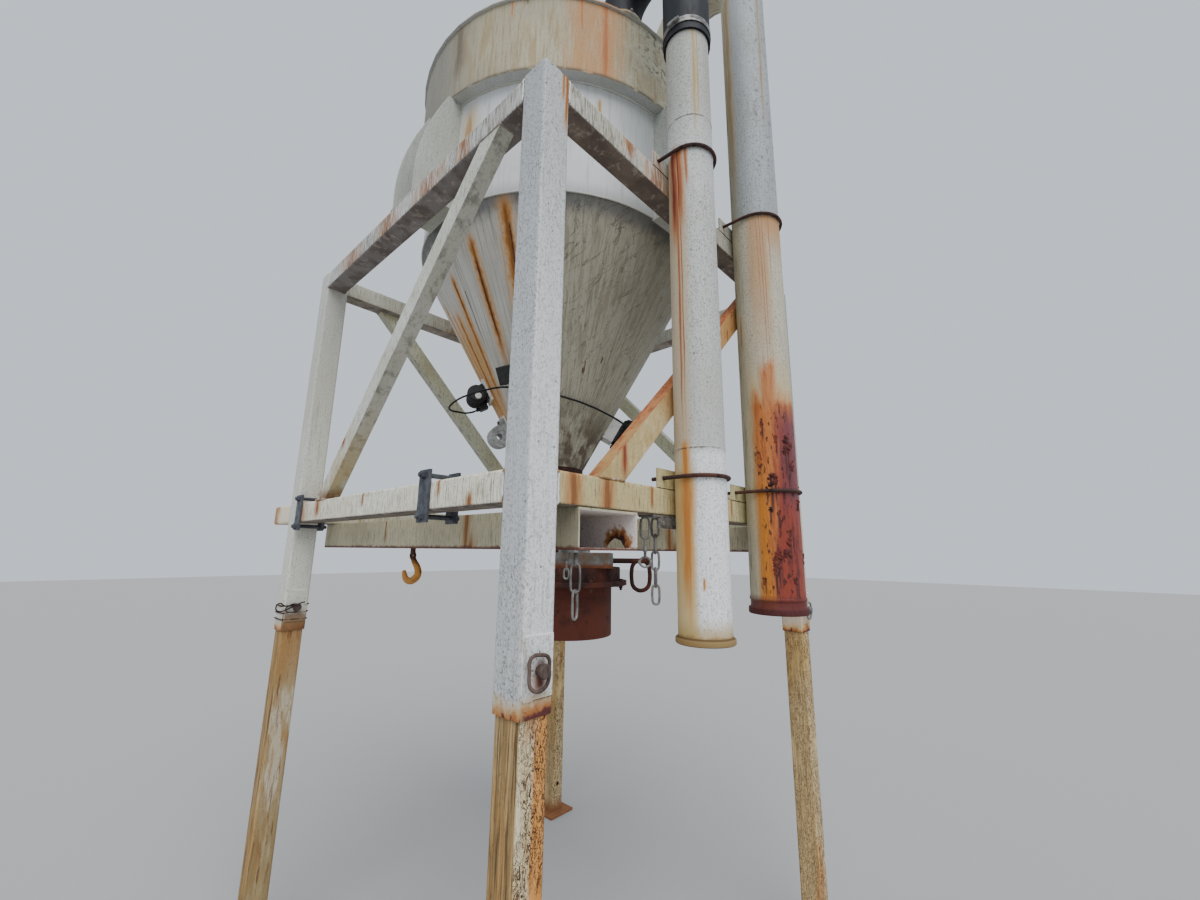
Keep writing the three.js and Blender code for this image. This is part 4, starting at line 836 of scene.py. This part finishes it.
red = pipe.both(eaten, red, (height, 2.06, 1.92))
pipe.lay(0x862C1E, 0.45, red, 0.92)
pipe.lay(0x5C1F20, 0.5, red, (0.012, 12, 5, 5, 0.50, 0.64, sheet), 0.85)
pipe.lay(0x6A3440, 0.5, red, (across, math.radians(38), math.radians(66)), (pipe.z, 1.60, 1.72), 0.7)
trails = degrees((turn, z + size, z - 9 * size, size * 0.75) for turn, z, size in SCABS[:RUNNING_SCABS])
soft_run, dark_run = runs(pipe, pipe.angle, pipe.radius, trails, 0.008)
pipe.lay(0x6E2A20, 0.55, soft_run, eaten, 0.75)
pipe.lay(0x35161C, 0.6, dark_run, 0.85)
pits = pipe.both(eaten, (0.012, 3, 6, 6, 0.58, 0.64, sheet), (pipe.z, 2.06, 1.98))
pipe.lay(0x42191E, 0.8, pits, 0.9)
pipe.lay(0x5E201A, 0.6, (pipe.z, 1.365, 1.335), 0.92)
pipe.lay(0x4E1C1A, 0.75, (pipe.z, 1.320, 1.314))
pipe.raise_by(pipe.both(eaten, pipe.noise(0.010, 3, 6, 2, sheet)), 0.004)
pipe.raise_by(pits, 0.0015)
pipe.raise_by(dark_run, 0.001)
pipe_b_paint = pipe.done()
tube = turned(PIPE_B_PROFILE, PIPE_B["x"], PIPE_B["y"])
finished(tube, "pipe_b_tube", pipe_b_paint, "pipe_paint", "pipe_b")
dressed("pipe_b_bend", pipe_b_paint, "pipe_paint", 0)

LUMPS_PER_SCAB = 12
random.seed(7)
bpy.ops.object.select_all(action="DESELECT")
lumps = []
for turn, z, size in SCABS:
    for _ in range(LUMPS_PER_SCAB):
        lump = size * random.uniform(0.24, 0.50)
        spin = math.radians(turn) + random.uniform(-0.7, 0.7) * size / PIPE_B["radius"]
        reach = PIPE_B["radius"] - lump * 0.35
        place = (PIPE_B["x"] - reach * math.cos(spin), PIPE_B["y"] - reach * math.sin(spin),
                 z + random.uniform(-1.6, 1.2) * size)
        bpy.ops.mesh.primitive_ico_sphere_add(subdivisions=2, radius=lump, location=place)
        lumps.append(bpy.context.object)


def joined(parts):
    """One mesh of several, each with its place in the mesh."""
    bpy.ops.object.select_all(action="DESELECT")
    for part in parts:
        part.select_set(True)
    bpy.context.view_layer.objects.active = parts[0]
    if len(parts) > 1:
        bpy.ops.object.join()
    return settled()


def roughened(piece, grain, depth):
    """Pushes the surface in and out a little, as rust and weld metal are."""
    pattern = bpy.data.textures.new("grain", "CLOUDS")
    pattern.noise_scale = grain
    return modified(piece, "DISPLACE", texture=pattern, strength=depth, mid_level=0.5)


scabs = modified(joined(lumps), "REMESH", mode="VOXEL", voxel_size=0.0016)
roughened(scabs, 0.004, 0.003)
scab_rust = deep_rust("scab_rust", 0x5A2420, 0x843A22, 0x231516)
finished(scabs, "pipe_b_scabs", scab_rust, "rusty_steel")


# Rubber bend: black hose pushed over the top of the left pipe and held by a worm clamp, then over
# the rim of the tank to the inlet. The other pipe has a steel bend in the same place.
def on_circle(reach, spin, x=0.0, y=0.0):
    """The two coordinates of a place at this reach and turn round an upright axis."""
    return x + reach * math.cos(spin), y + reach * math.sin(spin)


def bar(points, radius, closed=False, sides=12, taper=None, caps=True):
    """Round bar bent along a line of points, with a thickness for each point where it tapers."""
    bpy.ops.object.select_all(action="DESELECT")
    bpy.ops.curve.primitive_bezier_curve_add(radius=1, location=(0, 0, 0))
    line = bpy.context.object
    line.data.splines[0].bezier_points.add(len(points) - 2)
    for i, (knot, place) in enumerate(zip(line.data.splines[0].bezier_points, points)):
        knot.co = place
        knot.handle_left_type = knot.handle_right_type = "AUTO"
        knot.radius = taper[i] if taper else 1
    line.data.splines[0].use_cyclic_u = closed
    line.data.resolution_u = 4
    line.data.bevel_depth = radius
    line.data.bevel_resolution = sides // 4
    line.data.use_fill_caps = caps
    bpy.ops.object.convert(target="MESH")
    return bpy.context.object


HOSE_RADIUS = 0.0832
HOSE_WALL = 0.007
HOSE_FOOT = 3.262
HOSE_TURN = 3.66
INLET_TOP = 3.614
INLET_Y = -0.57
bend = (INLET_Y - PIPE_A["y"]) / 2
hose_line = [(PIPE_A["x"], PIPE_A["y"], z) for z in (HOSE_FOOT, 3.36, 3.46, 3.56)]
for step in range(13):
    spin = math.pi * step / 12
    y, z = PIPE_A["y"] + bend * (1 - math.cos(spin)), HOSE_TURN + bend * math.sin(spin)
    hose_line.append((PIPE_A["x"], y, z))
hose_line.append((PIPE_A["x"], INLET_Y, INLET_TOP))
hose = bar(hose_line, HOSE_RADIUS, sides=48, caps=False)
modified(hose, "SOLIDIFY", thickness=HOSE_WALL)
finished(hose, "rubber_bend", rubber("hose_rubber"), "black_rubber", "pipe_a_hose")


def plate(low, high, edge=0.001):
    """A flat piece between two corners, with its edges eased."""
    bpy.ops.object.select_all(action="DESELECT")
    middle = [(a + b) / 2 for a, b in zip(low, high)]
    bpy.ops.mesh.primitive_cube_add(size=1, location=middle, scale=[b - a for a, b in zip(low, high)])
    return eased(settled(), edge)


def eased(made, edge):
    return modified(made, "BEVEL", width=edge, segments=2, limit_method="ANGLE")


def rod(start, end, radius, sides=32, edge=0.001):
    """A round rod between two points, or a nut where it has six sides."""
    bpy.ops.object.select_all(action="DESELECT")
    start, end = Vector(start), Vector(end)
    turn = (end - start).to_track_quat("Z", "Y").to_euler()
    bpy.ops.mesh.primitive_cylinder_add(vertices=sides, radius=radius, depth=(end - start).length,
                                        location=(start + end) / 2, rotation=turn)
    return eased(settled(), edge)


def bolt(place, axis, radius, head=0.008):
    """A hexagon head on a washer, at a place on a surface that faces along the axis."""
    place, axis = Vector(place), Vector(axis).normalized()
    washer = rod(place, place + axis * 0.002, radius * 1.25, 24, 0.0004)
    hexagon = rod(place + axis * 0.002, place + axis * (0.002 + head), radius, 6, 0.0008)
    return joined([washer, hexagon])


def steel(name, base, stain_color, metallic, rust):
    return Finish(name, base, 0.5, metallic).covered(
        (0.004, 1, 4, 3), 0.0004, (stain_color, 0.75, (0.03, 1, 5, 1, 0.42, 0.66)),
        (0x5A3422, 0.9, (0.012, 1, 5, 2, 0.66 - 0.2 * rust, 0.74 - 0.15 * rust), 0.8))


clamp_steel = steel("clamp_steel", 0x5A5D63, 0x474A52, 0.5, 0.15)
galvanised = steel("galvanised", 0x8C8B87, 0x64625F, 0.6, 0.25)
bolt_rust = deep_rust("bolt_rust", 0x3C2824, 0x5A3628, 0x221716)

CLAMP_LOW = 3.29
CLAMP_HIGH = 3.312
WORM_HEIGHT = 3.301
clamp_reach = HOSE_RADIUS + 0.0006
band_profile = [(clamp_reach, CLAMP_LOW), (clamp_reach + 0.002, CLAMP_LOW),
                (clamp_reach + 0.002, CLAMP_HIGH), (clamp_reach, CLAMP_HIGH)]
worm_x, worm_y = PIPE_A["x"] - clamp_reach, PIPE_A["y"]
worm = [
    turned(band_profile, PIPE_A["x"], PIPE_A["y"]),
    plate((worm_x - 0.012, worm_y - 0.017, CLAMP_LOW + 0.004),
          (worm_x + 0.001, worm_y + 0.017, CLAMP_HIGH - 0.004), 0.003),
    rod((worm_x - 0.007, worm_y - 0.026, WORM_HEIGHT),
        (worm_x - 0.007, worm_y + 0.020, WORM_HEIGHT), 0.005, 16),
]
finished(joined(worm), "hose_clamp_band", galvanised, "bare_steel", "hose_clamp")


# U-bolts: 12 mm round bar, bent round each pipe at two heights and put through two holes in a
# cleat on the frame. Nuts and washers behind the cleat pull the pipe tight. All of it is rusty.
U_BOLT_ROD = 0.006
CLEAT_BACK = -0.7937
U_BOLT_END = -0.7603
for pipe_name, spec in (("a", PIPE_A), ("b", PIPE_B)):
    reach = spec["radius"] + 0.0007 + U_BOLT_ROD
    for level, z in (("upper", 2.788), ("lower", 1.708)):
        line = [(spec["x"] - reach, y, z) for y in (U_BOLT_END, -0.80, -0.84)]
        for step in range(13):
            spin = math.pi * step / 12
            line.append((*on_circle(-reach, spin, spec["x"], spec["y"]), z))
        line += [(spec["x"] + reach, y, z) for y in (-0.84, -0.80, U_BOLT_END)]
        parts = [bar(line, U_BOLT_ROD)]
        for side in (-1, 1):
            x = spec["x"] + side * reach
            parts.append(rod((x, CLEAT_BACK, z), (x, CLEAT_BACK + 0.010, z), 0.011, 6))
            parts.append(rod((x, CLEAT_BACK - 0.0003, z), (x, CLEAT_BACK + 0.0015, z), 0.0135, 24, 0.0004))
        node = "u_bolt_" + pipe_name + "_" + level
        finished(joined(parts), node + "_bar", bolt_rust, "bare_steel", node)


# Locking pins: 20 mm round bar through sleeve and leg, with a D ring of 8 mm bar through the head.
# The rear left one has a bow of thin wire in place of its ring.
PIN_HEIGHT = 1.26
LEG_CENTRE = 0.755
PAD_FACE = 0.05
pin_rust = deep_rust("pin_rust", 0x4C3E38, 0x6C5A50, 0x2C1A1A)
ring_line = [(-0.036, 0.024), (-0.036, 0.004), (-0.036, -0.014), (-0.031, -0.027), (-0.017, -0.035),
             (-0.003, -0.035), (0.011, -0.027), (0.016, -0.014), (0.016, 0.004), (0.016, 0.018),
             (0.010, 0.027), (-0.008, 0.032), (-0.026, 0.032)]
bow_line = [(0.014, 0.002), (0.006, 0.010), (-0.010, 0.014), (-0.028, 0.010), (-0.040, 0.000),
            (-0.038, -0.012), (-0.024, -0.018), (-0.006, -0.016), (0.008, -0.008)]


def locking_pin(line, thickness):
    handle = bar([(x, -0.013, z) for x, z in line], thickness, closed=True)
    shank = rod((0, -0.019, 0), (0, 0.107, 0), 0.010, 32, 0.002)
    head = rod((0, -0.022, 0), (0, -0.008, 0), 0.0148, 32, 0.003)
    return joined([handle, shank, head])


ring_pin = locking_pin(ring_line, 0.004)
bow_pin = locking_pin(bow_line, 0.0025)
for corner in SLEEVES:
    side_x = -1 if "left" in corner else 1
    side_y = -1 if "front" in corner else 1
    pin = bow_pin if corner == "back_left" else ring_pin
    copy = pin.copy()
    copy.data = pin.data.copy()
    bpy.context.scene.collection.objects.link(copy)
    copy.location = (side_x * LEG_CENTRE, side_y * LEG_CENTRE - PAD_FACE, PIN_HEIGHT)
    material = galvanised if corner == "front_right" else pin_rust
    finished(copy, "pin_" + corner, material, "bare_steel", "leg_pin_" + corner)
bpy.data.objects.remove(ring_pin)
bpy.data.objects.remove(bow_pin)


# Binding wire: rusty 5 mm wire, wound by hand round the rear left sleeve, below and over its pin,
# with a loose turn at the left and its ends twisted together in front.
WIRE_RADIUS = 0.0027
WIRE_REACH = 0.0485


def wire_turn(start, rise, loose=0.0):
    around = []
    for step in range(16):
        spin = 2 * math.pi * step / 16
        across, along = math.cos(spin), math.sin(spin)
        blunt = max(abs(across), abs(along)) ** -0.72
        out = loose if -0.9 < across < -0.2 and along < 0 else 0.0
        x = -LEG_CENTRE + (WIRE_REACH + out) * across * blunt
        y = LEG_CENTRE + (WIRE_REACH + out * 0.6) * along * blunt
        around.append((x, y, start + rise * step / 16))
    return around


wire_turns = [wire_turn(1.236, 0.005), wire_turn(1.216, -0.004), wire_turn(1.262, 0.008, 0.012)]
wire = [*[bar(line, WIRE_RADIUS, closed=True, sides=8) for line in wire_turns],
        bar([(-0.80, 0.700, 1.268), (-0.82, 0.69, 1.280), (-0.832, 0.684, 1.270), (-0.826, 0.688, 1.252),
             (-0.80, 0.694, 1.250), (-0.776, 0.690, 1.262), (-0.752, 0.678, 1.276), (-0.73, 0.690, 1.280)],
            WIRE_RADIUS, sides=8)]
finished(joined(wire), "binding_wire", bolt_rust, "rusty_steel")


# Strap clamps on the left ring beam: two flat bars of grey steel, one on each face of the tube,
# drawn together by a bolt above it and one below.
for place in ("front", "rear"):
    dressed("beam_clamp_" + place, clamp_steel, "bare_steel")


# Bag hook: a forged steel hook that tapers to its tip, hung from an eye welded under the left fork
# pocket. It is ochre with rust, and dark at the eye.
HOOK_X = -0.625
hook_line = [(0.012, 1.468), (0.001, 1.455), (-0.022, 1.436), (-0.029, 1.417), (-0.010, 1.400),
             (0.024, 1.391), (0.053, 1.398), (0.066, 1.413), (0.070, 1.424)]
HOOK_TAPER = [0.8, 0.95, 1.05, 1.15, 1.2, 1.15, 1.0, 0.8, 0.55]


def loop(width, length, thickness, turn, x, y, top):
    """A link of round bar that hangs from its top, turned about the upright axis."""
    half, straight = (width - thickness) / 2, (length - width) / 2
    line = []
    for centre, first in ((straight, 0), (-straight, 6)):
        for step in range(7):
            spin = math.pi * (first + step) / 6
            across, up = half * math.cos(spin), centre + half * math.sin(spin)
            line.append((x + across * math.cos(turn), y + across * math.sin(turn), top - length / 2 + up))
    return bar(line, thickness / 2, closed=True, sides=12)


hook = Finish("hook_rust", 0xB87F33, 0.8)
hook_rust = hook.covered(
    (0.008, 1, 5), 0.0012, (0x8A5522, 0.85, (0.02, 1, 5, 1, 0.45, 0.65)),
    (0x4E2A1A, 0.9, (hook.z, 1.445, 1.470)), (0x5C3318, 0.9, (0.01, 1, 5, 4, 0.60, 0.70)))
hook_parts = [bar([(HOOK_X, y, z) for y, z in hook_line], 0.0102, taper=HOOK_TAPER, sides=20),
              loop(0.034, 0.034, 0.010, math.pi / 2, HOOK_X, 0.016, 1.493),
              plate((HOOK_X - 0.004, 0.006, 1.477), (HOOK_X + 0.004, 0.030, 1.50))]
finished(joined(hook_parts), "hook_on_eye", hook_rust, "rusty_steel", "bag_hook")


# Chains: galvanised links under the front ring beam and the left fork pocket, once used to tie the
# neck of a bag. A link with a turnbuckle and a shackle hangs beside the front one.
FACING = -math.pi / 4
RING_FOOT = 1.60
POCKET_FOOT = 1.50


def chain(count, width, length, thickness, x, y, top):
    """Links that hang in one another, each a quarter turn from the one above."""
    pitch = length - 2 * thickness + 0.0012
    return [loop(width, length, thickness, FACING + (i % 2) * math.pi / 2, x, y, top - i * pitch)
            for i in range(count)]


front = chain(5, 0.026, 0.060, 0.007, -0.285, -0.760, RING_FOOT - 0.003)
front += [
    plate((-0.345, -0.800, RING_FOOT - 0.006), (-0.229, -0.745, RING_FOOT)),
    plate((-0.321, -0.800, 1.563), (-0.229, -0.792, 1.591)),
    loop(0.030, 0.067, 0.0065, FACING, -0.334, -0.760, RING_FOOT - 0.003),
    rod((-0.334, -0.760, 1.482), (-0.334, -0.760, 1.534), 0.004, 16),
    rod((-0.334, -0.760, 1.497), (-0.334, -0.760, 1.513), 0.007, 6),
    loop(0.040, 0.034, 0.007, FACING, -0.334, -0.760, 1.486),
]
for x in (-0.305, -0.245):
    front += [plate((x - 0.006, -0.800, 1.590), (x + 0.006, -0.792, RING_FOOT - 0.004)),
              bolt((x, -0.800, 1.577), (0, -1, 0), 0.0075, 0.005)]
finished(joined(front), "front_chain_links", galvanised, "zinc_steel", "front_chains")
left = chain(3, 0.016, 0.028, 0.005, -0.643, -0.762, POCKET_FOOT - 0.002)
left += [
    plate((-0.655, -0.798, POCKET_FOOT - 0.006), (-0.600, -0.745, POCKET_FOOT)),
    plate((-0.636, -0.783, 1.462), (-0.626, -0.777, POCKET_FOOT - 0.004)),
    loop(0.026, 0.070, 0.006, FACING, -0.631, -0.780, 1.471),
    loop(0.026, 0.070, 0.006, FACING + math.pi / 3, -0.631, -0.780, 1.4115),
]
finished(joined(left), "left_chain_links", galvanised, "zinc_steel", "left_chains")


# Gate lever: a round steel rod with a D handle welded to its end, rusted in place in the housing.
# The eight bolts of the collar's flange below it have their nuts underneath.
OUTLET_X = 0.052
OUTLET_Y = -0.058
LEVER_TURN = -47.7
lever = joined([rod((0.1873, 0, 1.457), (0.352, 0, 1.457), 0.011, 24, 0.002),
                loop(0.094, 0.144, 0.018, 0, 0.311, 0, 1.468)])
lever_turned = Matrix.Rotation(math.radians(LEVER_TURN), 4, "Z")
lever.matrix_world = Matrix.Translation((OUTLET_X, OUTLET_Y, 0)) @ lever_turned
roughened(joined([lever]), 0.008, 0.0012)
finished(lever, "gate_lever_bar", outlet_rust, "rusty_steel", "gate_lever")
BOLT_CIRCLE = 0.236
FIRST_BOLT = 22
FLANGE_LOW = 1.358
FLANGE_HIGH = 1.376
bolts = []
for step in range(8):
    x, y = on_circle(BOLT_CIRCLE, math.radians(45 * step + FIRST_BOLT), OUTLET_X, OUTLET_Y)
    bolts += [bolt((x, y, FLANGE_HIGH), (0, 0, 1), 0.0085), bolt((x, y, FLANGE_LOW), (0, 0, -1), 0.0085),
              rod((x, y, FLANGE_LOW - 0.018), (x, y, FLANGE_LOW), 0.005, 16)]
finished(joined(bolts), "collar_bolts", bolt_rust, "rusty_steel")


# Vibrators and level switch: small motors in cast housings, bolted to pads on the cone. Each is made
# upright at the origin, with +X out of the sheet and +Z up the slope, and then seated.
def seated(part, azimuth, z):
    radius = CONE_FOOT_RADIUS + (z - CONE_FOOT) * SLOPE
    lean = Matrix.Translation((radius, 0, z)) @ Matrix.Rotation(math.atan(SLOPE), 4, "Y")
    part.matrix_world = Matrix.Rotation(math.radians(azimuth), 4, "Z") @ lean
    return joined([part])


housing_paint = Finish("motor_housing", 0x16171A, 0.42).covered(
    (0.002, 1, 2), 0.0001, (0x35352F, 0.75, (0.02, 1, 5, 1, 0.45, 0.72)),
    (0x5A584C, 0.85, (0.006, 1, 4, 2, 0.62, 0.72), 0.6))
white_plate = Finish("white_plate", 0xE2E3E0, 0.5)
white_plate.lay(0xB9B9B0, 0.7, (0.01, 1, 4, 1, 0.5, 0.75))
LEFT_SEAT = (150, 2.185)
RIGHT_SEAT = (-42, 2.055)
SWITCH_SEAT = (-165, 2.205)
BALL_SEAT = (158, 2.0)
LEFT_OUT = 0.054
RIGHT_OUT = 0.092

body = [rod((LEFT_OUT, -0.050, 0), (LEFT_OUT, 0.050, 0), 0.0385, 64),
        rod((LEFT_OUT, -0.060, 0), (LEFT_OUT, 0.060, 0), 0.033, 64, 0.004)]
for y in (-0.045, -0.03, -0.015, 0, 0.015, 0.03, 0.045):
    body.append(rod((LEFT_OUT, y - 0.0016, 0), (LEFT_OUT, y + 0.0016, 0), 0.041, 64, 0.0006))
body += [plate((0.0103, -0.034, -0.038), (0.020, 0.034, 0.038), 0.002),
         plate((0.018, -0.026, -0.028), (0.045, 0.026, 0.028), 0.004),
         plate((0.022, -0.044, -0.064), (0.057, -0.006, -0.020), 0.004),
         plate((0.055, -0.043, -0.063), (0.060, -0.007, -0.021), 0.0015),
         rod((0.059, -0.025, -0.052), (0.064, -0.025, -0.052), 0.0095, 6),
         rod((0.063, -0.025, -0.052), (0.075, -0.025, -0.052), 0.0078, 24, 0.002)]
body += [bolt((0.020, y, z), (1, 0, 0), 0.0055, 0.005) for y in (-0.029, 0.029) for z in (-0.032, 0.032)]
motor = seated(joined(body), *LEFT_SEAT)
finished(motor, "vibrator_left_motor", housing_paint, "black_fittings", "vibrator_left")
disc = rod((LEFT_OUT, 0.0598, -0.013), (LEFT_OUT, 0.0612, -0.013), 0.0135, 32, 0.0004)
finished(seated(disc, *LEFT_SEAT), "vibrator_left_disc", white_plate.done(), "zinc_steel")

body = [rod((RIGHT_OUT, 0, -0.074), (RIGHT_OUT, 0, 0.074), 0.0395, 64),
        rod((RIGHT_OUT, 0, -0.084), (RIGHT_OUT, 0, 0.084), 0.033, 64, 0.004)]
for i in range(9):
    z = -0.066 + 0.0165 * i
    body.append(rod((RIGHT_OUT, 0, z), (RIGHT_OUT, 0, z + 0.003), 0.042, 64, 0.0006))
body += [plate((0.0483, -0.036, -0.048), (0.058, 0.036, 0.048), 0.002),
         plate((0.056, -0.028, -0.040), (0.080, 0.028, 0.040), 0.004),
         plate((0.078, -0.046, 0.014), (0.112, -0.030, 0.052), 0.003),
         rod((0.095, -0.036, 0.033), (0.095, -0.050, 0.033), 0.0095, 6),
         rod((0.095, -0.048, 0.033), (0.095, -0.058, 0.033), 0.0078, 24, 0.002)]
body += [bolt((0.058, y, z), (1, 0, 0), 0.0055, 0.005) for y in (-0.031, 0.031) for z in (-0.042, 0.042)]
motor = seated(joined(body), *RIGHT_SEAT)
finished(motor, "vibrator_right_motor", housing_paint, "black_fittings", "vibrator_right")

body = [plate((0.0003, -0.040, -0.037), (0.050, 0.040, 0.037), 0.004),
        plate((0.0505, -0.040, -0.037), (0.060, 0.040, 0.037), 0.003),
        rod((0.030, -0.039, 0.008), (0.030, -0.044, 0.008), 0.0095, 6),
        rod((0.030, -0.042, 0.008), (0.030, -0.054, 0.008), 0.0078, 24, 0.002)]
for y in (-0.034, 0.034):
    body += [rod((0.058, y, z), (0.0605, y, z), 0.003, 12, 0.0004) for z in (-0.031, 0.031)]
switch = seated(joined(body), *SWITCH_SEAT)
finished(switch, "level_switch_box", housing_paint, "black_fittings", "level_box")

cast_zinc = Finish("cast_zinc", 0xA3A5A4, 0.55, 0.3).covered(
    (0.003, 1, 4), 0.0003, (0x7C7D7A, 0.7, (0.02, 1, 5, 1, 0.42, 0.66)),
    (0x5C5A52, 0.85, (0.008, 1, 4, 2, 0.62, 0.72)))
dressed("ball_vibrator", cast_zinc, "zinc_steel", 0.002)
feet = [bolt((0.0215, 0, z), (1, 0, 0), 0.0065, 0.006) for z in (-0.0585, 0.0585)]
finished(seated(joined(feet), *BALL_SEAT), "ball_vibrator_bolts", bolt_rust, "bare_steel")


# Welds: hand-laid steel beads at the ends of the beams and braces and above the pin pads, round
# the tank's joints and along its brackets, painted over with the frame.
BEAD = 0.0032


def rectangle(corners):
    """A closed line through four corners, with points close enough to keep them sharp."""
    line = []
    for start, end in zip(corners, corners[1:] + corners[:1]):
        for step in (0.06, 0.3, 0.5, 0.7, 0.94):
            line.append(Vector(start).lerp(Vector(end), step))
    return line


def bead(line, thickness=BEAD, closed=True):
    return bar(line, thickness, closed=closed, sides=8)


beads = []
BRACE_ENDS = [(0.208, 0.188, 0), (0.193, 0.207, 90), (0.226, 0.185, 180), (0.147, 0.262, -90)]
BRACE_WIDTH = 0.07
RING_TOP = 1.68
BEAM_FOOT = 2.68
BEAM_HALF = 0.71
for high, low, turn in BRACE_ENDS:
    rise, run = BEAM_FOOT - RING_TOP, 2 * BEAM_HALF - high - low
    half = BRACE_WIDTH / 2 / math.sin(math.atan2(rise, run))
    spin = Matrix.Rotation(math.radians(turn), 4, "Z")
    for x, z in ((-BEAM_HALF + low, RING_TOP), (BEAM_HALF - high, BEAM_FOOT)):
        corners = [(x - half, -0.799, z), (x + half, -0.799, z), (x + half, -0.751, z),
                   (x - half, -0.751, z)]
        beads.append(bead([spin @ p for p in rectangle(corners)]))
    for z in (RING_TOP - 0.08, BEAM_FOOT):
        for x in (-BEAM_HALF, BEAM_HALF):
            corners = [(x, -0.799, z + 0.001), (x, -0.721, z + 0.001), (x, -0.721, z + 0.079),
                       (x, -0.799, z + 0.079)]
            beads.append(bead([spin @ p for p in rectangle(corners)], BEAD * 0.8))
for side_x in (-1, 1):
    for side_y in (-1, 1):
        x, face = side_x * LEG_CENTRE, side_y * LEG_CENTRE - 0.045
        line = [(x - 0.038, 1.326), (x - 0.012, 1.327), (x + 0.012, 1.326), (x + 0.038, 1.327)]
        beads.append(bead([(across, face - 0.002, z) for across, z in line], closed=False))
weld_paint = Finish("weld_paint", 0xE2E1DA, 0.5)
weld_paint.lay(0xA08A68, 0.8, (0.05, 1, 5, 2, 0.52, 0.64))
weld_paint.lay(0x5E5A50, 0.85, (0.008, 1, 4, 3, 0.60, 0.70), 0.7)
# Painted shade: the beads at the foot of the top beams, where the braces meet them, are laid over dark
# brown-grey.
weld_paint.lay(0x857B70, 0.85, (weld_paint.z, 2.670, 2.684, 0.003))
weld_paint.lay(0x96744A, 0.85, (weld_paint.z, 1.673, 1.688, 0.003), (0.03, 1, 4, 7, 0.32, 0.5))
finished(roughened(joined(beads), 0.006, 0.0022), "frame_welds", weld_paint.done(), "frame_paint")

WALL_RADIUS = 0.635
beads = []
for z, reach in ((CONE_TOP, WALL_RADIUS), (3.2595, WALL_RADIUS + 0.002)):
    line = [(*on_circle(reach, math.radians(turn)), z) for turn in range(0, 360, 10)]
    beads.append(bead(line))
for quarter in range(4):
    spin = Matrix.Rotation(math.pi / 2 * quarter, 4, "Z")
    for y in (-0.075, 0.075):
        root = math.sqrt(WALL_RADIUS ** 2 - y ** 2)
        for edge in (-0.005, 0.005):
            line = [spin @ Vector((root, y + edge, 2.78 + 0.06 * step)) for step in range(9)]
            beads.append(bead(line, BEAD * 0.8, closed=False))
finished(roughened(joined(beads), 0.006, 0.002), "tank_welds", far_paint, "frame_paint")


# Roof fittings, all galvanised steel: a grab handle and six toggle bolts with their nuts on the
# hatch lid, and eight bolts through the flange of each inlet.
LID_TOP = 3.686
LID_BOLT_CIRCLE = 0.232
INLET_B_Y = -0.50
INLET_FLANGE = 3.6135
handle = [(-0.07, 0.002), (-0.07, 0.03), (-0.05, 0.048), (0.05, 0.048), (0.07, 0.03), (0.07, 0.002)]
fittings = [bar([(x, 0, LID_TOP + up) for x, up in handle], 0.006)]
for step in range(6):
    x, y = on_circle(LID_BOLT_CIRCLE, math.radians(60 * step + 30))
    fittings += [rod((x, y, 3.64), (x, y, 3.70), 0.006, 16), rod((x, y, 3.685), (x, y, 3.697), 0.013, 6)]
for x, y, reach in ((PIPE_A["x"], INLET_Y, 0.0885), (PIPE_B["x"], INLET_B_Y, 0.105)):
    for step in range(8):
        spot = on_circle(reach, math.radians(45 * step + FIRST_BOLT), x, y)
        fittings.append(bolt((*spot, INLET_FLANGE), (0, 0, 1), 0.0055, 0.006))
finished(joined(fittings), "roof_fittings", galvanised, "bare_steel")
